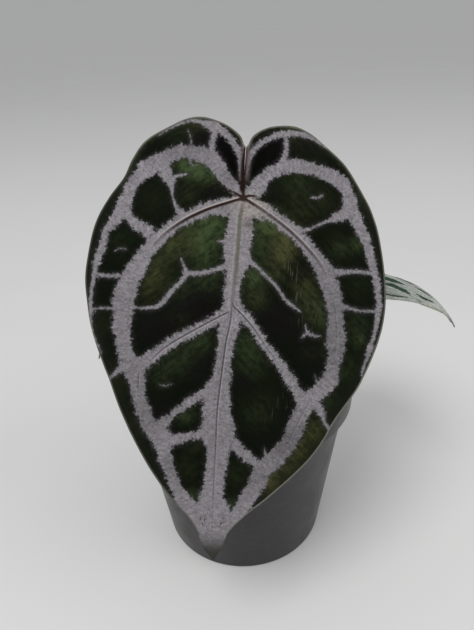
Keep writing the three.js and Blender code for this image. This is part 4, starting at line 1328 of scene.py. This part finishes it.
def velvet_finish(blades, name, silver_colour, rim_colour, tip_colour, youth):
    paint = Paint(name)
    plan = paint.attribute("plan", "Vector")
    flow = paint.attribute("flow", "Vector")
    edge = paint.attribute("edge")
    from_seat = paint.node("ShaderNodeVectorMath", {"operation": "LENGTH"}, {0: plan}, out="Value")
    across, down, _ = paint.parts(plan)

    # Silver bands with feathered edges, bitten through by small holes near the tip
    clump = paint.strokes(flow, (0.22, 0.08, 1), 2, 0.5)
    teeth = paint.strokes(flow, (1.2, 0.34, 1), 4, 0.8) - 0.5
    grain = paint.noise(plan, 1.7, 3, 0.75) - 0.5
    ragged = paint.noise(plan, 0.62, 2, 0.55) - 0.5
    bitten = paint.smooth(abs(down - 133.5), 4, 1) * paint.smooth(abs(abs(across + 2) - 4), 2.2, 0.6)
    hole = paint.smooth(paint.strokes(plan, (1.1, 0.6, 1), 1, 0.5), 0.52, 0.62) * bitten
    wide = paint.attribute("silver") + teeth * (1.4 + 5 * clump) + (clump - 0.5) * 2.2 + grain * 3 + ragged * 3
    off, half = paint.drawn("thread")
    thin = half - off + grain * 2.6 + teeth * 0.9 + ragged * 1.7
    depth = paint.most(wide, thin)
    silver = paint.smooth(depth, -0.4, 0.5)
    halo = paint.smooth(depth, -2.0, 0.2) * 0.05

    # Colour of the cells: patches that break up in strokes along the side veins, with painted light, sheen and shade
    stroke_at = paint.node("ShaderNodeCombineXYZ", {}, {
        0: abs(across) * 0.10 + down * 0.09, 1: down * 0.5 - abs(across) * 0.43, 2: across * 0.03,
    })
    stroke = paint.noise(stroke_at, 1, 3, 0.65)
    mottle = paint.noise(plan, 0.42, 4, 0.62)
    fine = paint.noise(plan, 1.2, 3, 0.7)
    veinlet = paint.net(plan, 0.07)
    broken = paint.smooth(stroke * 0.45 + mottle * 0.55, 0.34, 0.64)
    patchy = 0.3 + 1.1 * broken
    olive_and_sheen = paint.attribute("olive_and_sheen")
    green = paint.layers(
        blades.dark,
        # painted light and sheen on the cells' upper parts
        (paint.attribute("painted_light") * patchy, blades.painted_light),
        # olive tint, with painted sheen in places
        (olive_and_sheen * patchy, blades.olive),
        # painted shade on the cells' lower parts
        (paint.attribute("painted_shade") * (1.35 - 0.8 * broken), blades.painted_shade),
    )
    lobes = paint.smooth(down, 4, -16)
    strip = paint.smooth(edge + mottle * 6 + lobes * 3.2, 10, 4.5)
    margin = paint.shade(blades.margin, 0.85 + 2.4 * lobes)
    margin = paint.mix(olive_and_sheen * (0.55 + 0.3 * mottle), margin, paint.shade(blades.olive, 0.75))
    green = paint.mix(strip * 0.9, green, margin)
    # Painted shade: the cells are darker in the notch between the lobes, where they fold down into the valley
    notch_shade = paint.smooth(abs(across), 17, 11) * paint.smooth(down, -8, -14) * (1 - strip)
    green = paint.shade(green, 1 - 0.65 * notch_shade)
    # Painted satin highlights: pale streaks on some cells
    streak = paint.smooth(paint.strokes(plan, (1.3, 0.12, 1), 2, 0.5), 0.57, 0.68)
    young_green = paint.shade(blades.young_green, 0.3 + 1.4 * mottle)
    green = paint.layers(green, (streak * paint.attribute("sheen_streaks") * 0.75, MARKS["streak"]), (youth, young_green))
    green = paint.shade(green, 0.5 + 0.62 * fine + 0.38 * stroke + 0.1 * veinlet)

    # Colour of the veins
    near_seat = paint.smooth(from_seat + mottle * 14, 26, 8) * paint.smooth(down, -5, 2)
    near_seat = near_seat * paint.smooth(across, -12, 8)
    brush = paint.smooth(paint.strokes(flow, (0.85, 0.3, 1), 3, 0.75), 0.25, 0.75)
    fleck = paint.smooth(paint.noise(plan, 0.95, 3, 0.8), 0.25, 0.75)
    # Painted glints: tiny white dots on the silver that stand for its sparkle
    painted_glint = paint.smooth(paint.noise(plan, 1.5, 2, 0.6), 0.58, 0.72)
    pale = paint.mix(near_seat, silver_colour, blades.cream)
    shine = 0.24 + 0.56 * brush + 0.62 * fleck + 0.3 * mottle
    pale = paint.shade(pale, shine * (1 - 0.42 * paint.attribute("dull")))
    silk = paint.strokes(plan, (0.42, 0.05, 1), 3, 0.7)
    pale = paint.shade(pale, 1 + (silk - 0.5) * 2.6 * youth)
    pale = paint.mix(painted_glint * 0.3, pale, MARKS["painted_glint"])

    # Cores, painted highlights beside the raised cores, grooves painted dark as their shade with a painted highlight
    # beside them, and the fine line on the edge
    slit = paint.smooth(abs(across), 3.2, 0.8) * paint.smooth(down, -6, -12)
    slot = paint.smooth(abs(across + 0.5), 1.5, 0.5) * paint.smooth(down, -1, -4) * paint.smooth(down, -22, -17)
    maroon = paint.most(paint.line("maroon", 0.8), paint.smooth(from_seat + grain * 1.5, 2.3, 1.2))
    maroon = paint.most(maroon, slot * 0.85)
    # Painted highlight: a pale line on the upper side of the red-brown cores, where the raised veins catch the light
    cream = paint.line("maroon", 0.5, 0.9) * paint.smooth(down, -2.5, -0.5)
    groove = paint.line("groove", 0.36)
    shaded = paint.smooth(across, 0, -25) * paint.smooth(down, -25, -5)
    bright = (0.6 + 0.4 * paint.smooth(down, 40, 66)) * paint.smooth(down, 143, 134) * (1 - 0.55 * shaded)
    face = paint.layers(
        green,
        (halo, silver_colour),
        (silver, pale),
        (hole * 0.85, MARKS["hole"]),
        (paint.smooth(down + grain * 4, 137, 150), tip_colour),
        (slit * 0.75, MARKS["slit"]),
        (cream * 0.75, MARKS["ridge_highlight"]),
        (maroon * 0.96, blades.core),
        (slot * 0.55, MARKS["slot"]),
        (paint.line("olive", 0.5, 1.4) * 0.3, MARKS["olive_side"]),
        (paint.line("olive", 0.95) * 0.75, MARKS["olive"]),
        # painted highlight beside the grooves
        (paint.line("groove", 0.35, -0.6) * 0.4, MARKS["groove_highlight"]),
        # painted shade in the grooves
        (groove * 0.75, MARKS["groove"]),
        (paint.smooth(edge + grain * 0.7, 0.9, 0.35) * bright, rim_colour),
    )

    relief = silver * (0.04 + 0.16 * fleck) + fine * 0.08 - veinlet * 0.03 - groove * 0.2 + painted_glint * 0.03
    roughness = 0.58 - painted_glint * 0.1 + fine * 0.16
    return paint.finish(face, roughness, relief, specular=0.03)


def back_finish(blades):
    paint = Paint("blade_back")
    plan = paint.attribute("plan", "Vector")
    mottle = paint.noise(plan, 0.3, 4, 0.6)
    fine = paint.noise(plan, 1.6, 3, 0.6)
    veinlet = paint.net(plan, 0.09)
    off, half = paint.drawn("thread")
    thin = paint.smooth(half * 0.8 - off, -0.4, 0.3)
    vein = paint.most(paint.smooth(paint.attribute("silver"), -1.5, 3), thin * 0.8)
    _, down, _ = paint.parts(plan)
    base = paint.layers(
        blades.back * 0.7,
        (mottle, blades.back * 1.2),
        (vein * 0.55, blades.back_rib),
        (veinlet * 0.3, blades.back * 0.6),
        (paint.smooth(paint.attribute("edge"), 2.5, 0.2) * 0.5, blades.rim),
        (paint.smooth(down, 126, 146) * 0.8, MARKS["back_tip"]),
    )
    base = paint.shade(base, 0.82 + 0.36 * fine)
    relief = veinlet * 0.16 + fine * 0.06 + vein * 0.25
    return paint.finish(base, 0.5 + fine * 0.12, relief, specular=0.4)


def rib_finish(blades):
    paint = Paint("blade_rib")
    way = paint.attribute("way", "Vector")
    _, _, gone = paint.parts(way)
    streak = paint.strokes(way, (1.6, 1.6, 0.12), 3, 0.6)
    young = paint.smooth(gone, 14, 0)
    base = paint.layers(
        blades.back_rib * 0.75,
        (streak, blades.back_rib * 1.2),
        (young * 0.5, blades.core * 2.2),
        (paint.smooth(gone, 50, 85) * 0.7, MARKS["rib_tip"]),
    )
    return paint.finish(base, 0.45 + streak * 0.15, streak * 0.12, specular=0.4)


def patches(places, spots_of_colour):
    total = np.zeros(len(places))
    for u, v, reach, strength in spots_of_colour:
        off = (places[:, 0] - u) ** 2 + (places[:, 1] - v) ** 2
        total += strength * np.exp(-off / (0.9 * reach) ** 2)
    return np.clip(total, 0, 1)


def swayed(places, sway):
    """The plan with its lower part pushed sideways, for a blade whose midrib bends to one side"""
    u, v = places.T
    push = sway * rise(v, 25, 78) * (1 - rise(v, 112, 148)) * (1 - rise(abs(u), 15, 45))
    return places + np.column_stack([push, np.zeros(len(places))])


def wandered(places, amount):
    """The plan with its veins pushed about, so that the blades differ"""
    u, v = places.T
    twice = 2 * amount
    across = np.sin(v / 11 + amount) + 0.6 * np.sin(u / 7 + v / 17 + twice) - math.sin(amount) - 0.6 * math.sin(twice)
    down = np.sin(u / 9 + twice) + 0.5 * np.sin(v / 13 - u / 15) - math.sin(twice)
    return places + amount * np.column_stack([across, down]) * rise(np.hypot(u, v), 2, 20)[:, None]


def band_fields(places, widen):
    """Silver depth, flow and threads of a blade's face. Depth is how far a place lies inside the wide
    bands, flow is the way along the nearest band and off its middle, and thread is the side-signed
    distance, the distance and half the width of the nearest thin band."""
    depth = np.full(len(places), -50.0)
    flow = np.zeros((len(places), 3))
    flow_score = np.full(len(places), -np.inf)
    best = np.full(len(places), np.inf)
    thread = np.tile((0.0, 50, 0), (len(places), 1))
    for number, points in enumerate(BANDS.values()):
        line = smooth_line(points)
        line[:, 2] = np.maximum(line[:, 2], 0.02) * (1 + 0.1 * widen) + widen
        distance, side, gone, half = nearest_on(places, line, by_width=True)
        here = half - distance
        closer = here > flow_score
        flow_score[closer] = here[closer]
        own = np.column_stack([gone + 13 * number, side * distance, np.full(len(places), 3.7 * number)])
        flow[closer] = own[closer]
        for kind, chosen in (("wide", line[:, 2] > THIN_BAND), ("thin", line[:, 2] <= THIN_BAND)):
            for start, stop in runs_of(chosen):
                part = line[start:stop]
                distance, side, _, half = nearest_on(places, part, by_width=kind == "wide")
                if kind == "wide":
                    inside = half - distance
                    web = np.clip(0.5 + 0.5 * (depth - inside) / WEB_WIDTH, 0, 1)
                    depth = depth * web + inside * (1 - web) + WEB_WIDTH * web * (1 - web)
                else:
                    closer = distance - half < best
                    best[closer] = (distance - half)[closer]
                    thread[closer] = np.column_stack([side * distance, distance, half])[closer]
    return depth, flow, thread


def own_cells(places, depth, thread):
    """The depth and threads with the second blade's own cells near the tip"""
    cells = [nearest_on(places, smooth_line(cell)) for cell in SECOND_CELLS]
    clear = np.min([distance - half for distance, _, _, half in cells], axis=0)
    share = rise(places[:, 1], 64, 72) * (1 - rise(places[:, 0], 26, 32))
    thread = thread + np.column_stack([share * 0, share * 50, share * 0])
    return depth * (1 - share) + np.minimum(clear, 6) * share, thread


def runs_of(chosen):
    """Start and stop of each run of chosen points, with one more point at each end"""
    runs = []
    start = None
    for i, yes in enumerate([*chosen, False]):
        if yes and start is None:
            start = i
        elif not yes and start is not None:
            runs.append((max(0, start - 1), min(len(chosen), i + 1)))
            start = None
    return [run for run in runs if run[1] - run[0] > 1]


def fine_relief(places, blades, depth, thread):
    """Small cushions between the fine veins, ridges on the main veins near the stalk and a groove along
    the midrib, in the blade's millimetres"""
    quilt, ridge = blades.quilting / MM, blades.ridge / MM
    to_vein = np.minimum(np.maximum(-depth, 0), np.maximum(thread[:, 1] - thread[:, 2], 0))
    height = quilt * (1 - bell(to_vein / 2.2))
    for name in ("midrib", "left_arch", "right_arch", "left_lobe", "right_lobe"):
        distance, _, gone, _ = nearest_on(places, smooth_line(BANDS[name]))
        strength = ridge * (0.5 if "lobe" in name else 1)
        height += strength * bell(distance) * (1 - rise(gone, 18, 52)) * rise(gone, -0.1, 3)
    distance, _, gone, _ = nearest_on(places, smooth_line(LINES["groove"][0]))
    height -= GROOVE_DEPTH * bell(distance / 0.8) * (1 - 0.8 * rise(gone, 50, 90))
    u, v = places.T
    ripple = np.sin(u / 2.3 + np.sin(v / 5)) * np.sin(v / 3.1 + np.sin(u / 4))
    return height + RIPPLE_HEIGHT * ripple * rise(-depth, -0.5, 2)


def paint_in(mesh, name, values):
    """Stores values at the verts of a mesh, where the finishes read them."""
    flat = values.ndim == 1
    layer = mesh.attributes.new(name, "FLOAT" if flat else "FLOAT_VECTOR", "POINT")
    layer.data.foreach_set("value" if flat else "vector", values.astype(np.float32).ravel())


def heart(columns, rings):
    """A flat heart in the plan: rings of points round the seat, with the slit between the lobes open"""
    bm = bmesh.new()
    bmesh.ops.create_grid(bm, x_segments=columns, y_segments=rings, size=1)
    left, right = (smooth_line(edge, columns // 2) for edge in (LEFT_EDGE, RIGHT_EDGE))
    rim = np.vstack([left, right[-2::-1]])
    for vert in bm.verts:
        column = round((vert.co.x + 1) / 2 * columns)
        out = (vert.co.y + 1) / 2
        u, v = rim[column] * out
        if column in (0, columns):
            u *= 0.25 * rise(out, 0.08, 0.3)
        vert.co = (u, v, 0)
    bmesh.ops.remove_doubles(bm, verts=bm.verts, dist=SAME_PLACE)
    bmesh.ops.reverse_faces(bm, faces=bm.faces)
    return to_mesh("heart", bm)


class PLANT_OT_blades(bpy.types.Operator):
    """Makes the three velvety blades"""

    bl_idname = "plant.blades"
    bl_label = "Blades"

    def execute(self, context):
        blades = context.scene.plant_blade
        grown = velvet_finish(blades, "velvet_face", blades.silver, blades.rim, MARKS["tip"], 0)
        young = velvet_finish(blades, "young_velvet_face", blades.young, blades.young_rim, MARKS["young_tip"], 0.75)
        back = back_finish(blades)
        for name, form in BLADES.items():
            blade = Blade(**form)
            mesh = heart(form["columns"], form["rings"])
            plan = np.array([vert.co[:2] for vert in mesh.vertices])
            pushed = swayed(plan, form["sway"])
            drawn = wandered(pushed, form["wander"])
            depth, flow, thread = band_fields(drawn, form["widen"])
            if form["sway"]:
                depth, thread = own_cells(pushed, depth, thread)
            edge = distance_to(plan, EDGES)
            if form["pale_rim"]:
                depth = np.maximum(depth, (form["pale_rim"] - edge) * rise(plan[:, 1], -30, 40))
            points = blade.surface(plan, fine_relief(drawn, blades, depth, thread)) * MM
            mesh.vertices.foreach_set("co", points.ravel())
            flat = np.column_stack([plan, np.zeros(len(plan))])
            stored = {"plan": flat, "silver": depth, "flow": flow, "thread": thread, "edge": edge}
            for title, lines in LINES.items():
                stored[title] = nearest_of(drawn, [smooth_line(line) for line in lines])
            for title, places in PATCHES.items():
                stored[title] = patches(drawn, places)
            for title, values in stored.items():
                paint_in(mesh, title, values)
            mesh.update()
            finishes = [grown if form["scale"] == 1 else young, back]
            piece = add_piece(name.replace("leaf", "blade"), mesh, finishes, [name])
            thicken(piece, blades.thickness, -1, material_offset=1, use_rim=True)
        return {"FINISHED"}


class PLANT_OT_ribs(bpy.types.Operator):
    """Makes the raised ribs on the backs of the blades"""

    bl_idname = "plant.ribs"
    bl_label = "Ribs"

    def execute(self, context):
        finish = rib_finish(context.scene.plant_blade)
        for name, form in BLADES.items():
            blade = Blade(**form)
            bm = bmesh.new()
            for rank, rib, line in RIBS:
                if rank > form["ribs"]:
                    continue
                widest = rib * (0.2 + 0.8 * form["scale"])
                path = smooth_line(line, step=(3 if rank else 2.4) / form["scale"])
                path = path - swayed(path, form["sway"]) + path
                share = np.linspace(0, 1, len(path))
                radii = widest * np.interp(share, [0, 0.5, 1], [1, 0.65, 0.25])
                points = blade.surface(path) - blade.normal(path) * (radii + RIB_SUNK)[:, None]
                sweep(bm, points, radii, 10 if rank == 0 else 8)
            face_out(bm)
            make_piece(name.replace("leaf", "blade") + "_ribs", bm, [finish])
        return {"FINISHED"}


# Floor, light and camera

def floor_finish(stage):
    paint = Paint("pale_floor")
    place = paint.place()
    cloud = paint.noise(place, 0.004, 3, 0.5)
    base = paint.shade(stage.floor, 0.97 + 0.06 * cloud)
    return paint.finish(base, 0.8, specular=0.2)


def area_light(name, power):
    place, target, size = LIGHTS[name]
    lamp = bpy.data.lights.new(name, "AREA")
    lamp.shape = "DISK"
    lamp.size = size
    lamp.energy = power
    made = add_object(name, lamp)
    made.location = place
    made.rotation_euler = (Vector(target) - Vector(place)).to_track_quat("-Z", "Y").to_euler()


class PLANT_OT_stage(bpy.types.Operator):
    """Makes the pale floor, the soft light and the camera"""

    bl_idname = "plant.stage"
    bl_label = "Floor, light and camera"

    def execute(self, context):
        scene = context.scene
        stage = scene.plant_stage
        bm = bmesh.new()
        bmesh.ops.create_circle(bm, cap_ends=True, segments=96, radius=FLOOR_RADIUS)
        mesh = to_mesh("floor", bm)
        mesh.materials.append(floor_finish(stage))
        floor = add_object("floor", mesh)

        area_light("key_light", stage.key_power)
        area_light("fill_light", stage.fill_power)

        world = scene.world = bpy.data.worlds.new("soft_sky")
        world.use_nodes = True
        tree = world.node_tree
        sky = tree.nodes["Background"].inputs
        sky["Color"].default_value = SKY_COLOUR
        seen = tree.nodes.new("ShaderNodeLightPath").outputs["Is Camera Ray"]
        dimmed = tree.nodes.new("ShaderNodeMath")
        dimmed.operation = "MULTIPLY_ADD"
        dimmed.inputs[1].default_value = -BACKDROP_DIMMING * stage.sky
        dimmed.inputs[2].default_value = stage.sky
        tree.links.new(seen, dimmed.inputs[0])
        tree.links.new(dimmed.outputs[0], sky["Strength"])

        camera = add_object("photo_camera", bpy.data.cameras.new("photo_camera"))
        camera.data.sensor_width = SENSOR_WIDTH
        camera.data.lens = CAMERA_LENS
        camera.data.clip_start = 0.01
        camera.data.clip_end = 100
        tilt = rotation(90 - CAMERA_PITCH, "X") @ rotation(CAMERA_ROLL, "Z")
        camera.matrix_world = Matrix.Translation(CAMERA_AT) @ tilt
        scene.camera = camera
        scene.view_settings.view_transform = "Standard"
        return {"FINISHED"}


OPERATORS = (
    PLANT_OT_stage, PLANT_OT_pot, PLANT_OT_mix, PLANT_OT_stem, PLANT_OT_roots, PLANT_OT_bracts, PLANT_OT_stalks,
    PLANT_OT_blades, PLANT_OT_ribs,
)
SETTINGS = {
    "plant_pot": PotSettings,
    "plant_mix": MixSettings,
    "plant_stem": StemSettings,
    "plant_stalk": StalkSettings,
    "plant_blade": BladeSettings,
    "plant_stage": StageSettings,
}


class PLANT_PT_panel(bpy.types.Panel):
    """Lists the operators and their settings"""

    bl_idname = "PLANT_PT_panel"
    bl_label = "Potted anthurium"
    bl_space_type = "VIEW_3D"
    bl_region_type = "UI"
    bl_category = "Plant"

    def draw(self, context):
        for operator in OPERATORS:
            self.layout.operator(operator.bl_idname)
        for name, group in SETTINGS.items():
            box = self.layout.box()
            box.label(text=group.__doc__)
            for key in group.__annotations__:
                box.prop(getattr(context.scene, name), key)


CLASSES = (*SETTINGS.values(), *OPERATORS, PLANT_PT_panel)


def register():
    for cls in CLASSES:
        bpy.utils.register_class(cls)
    for name, group in SETTINGS.items():
        setattr(bpy.types.Scene, name, PointerProperty(type=group))


def unregister():
    for name in SETTINGS:
        delattr(bpy.types.Scene, name)
    for cls in reversed(CLASSES):
        bpy.utils.unregister_class(cls)


def main():
    register()
    for operator in OPERATORS:
        family, name = operator.bl_idname.split(".")
        getattr(getattr(bpy.ops, family), name)()


if __name__ == "__main__":
    main()
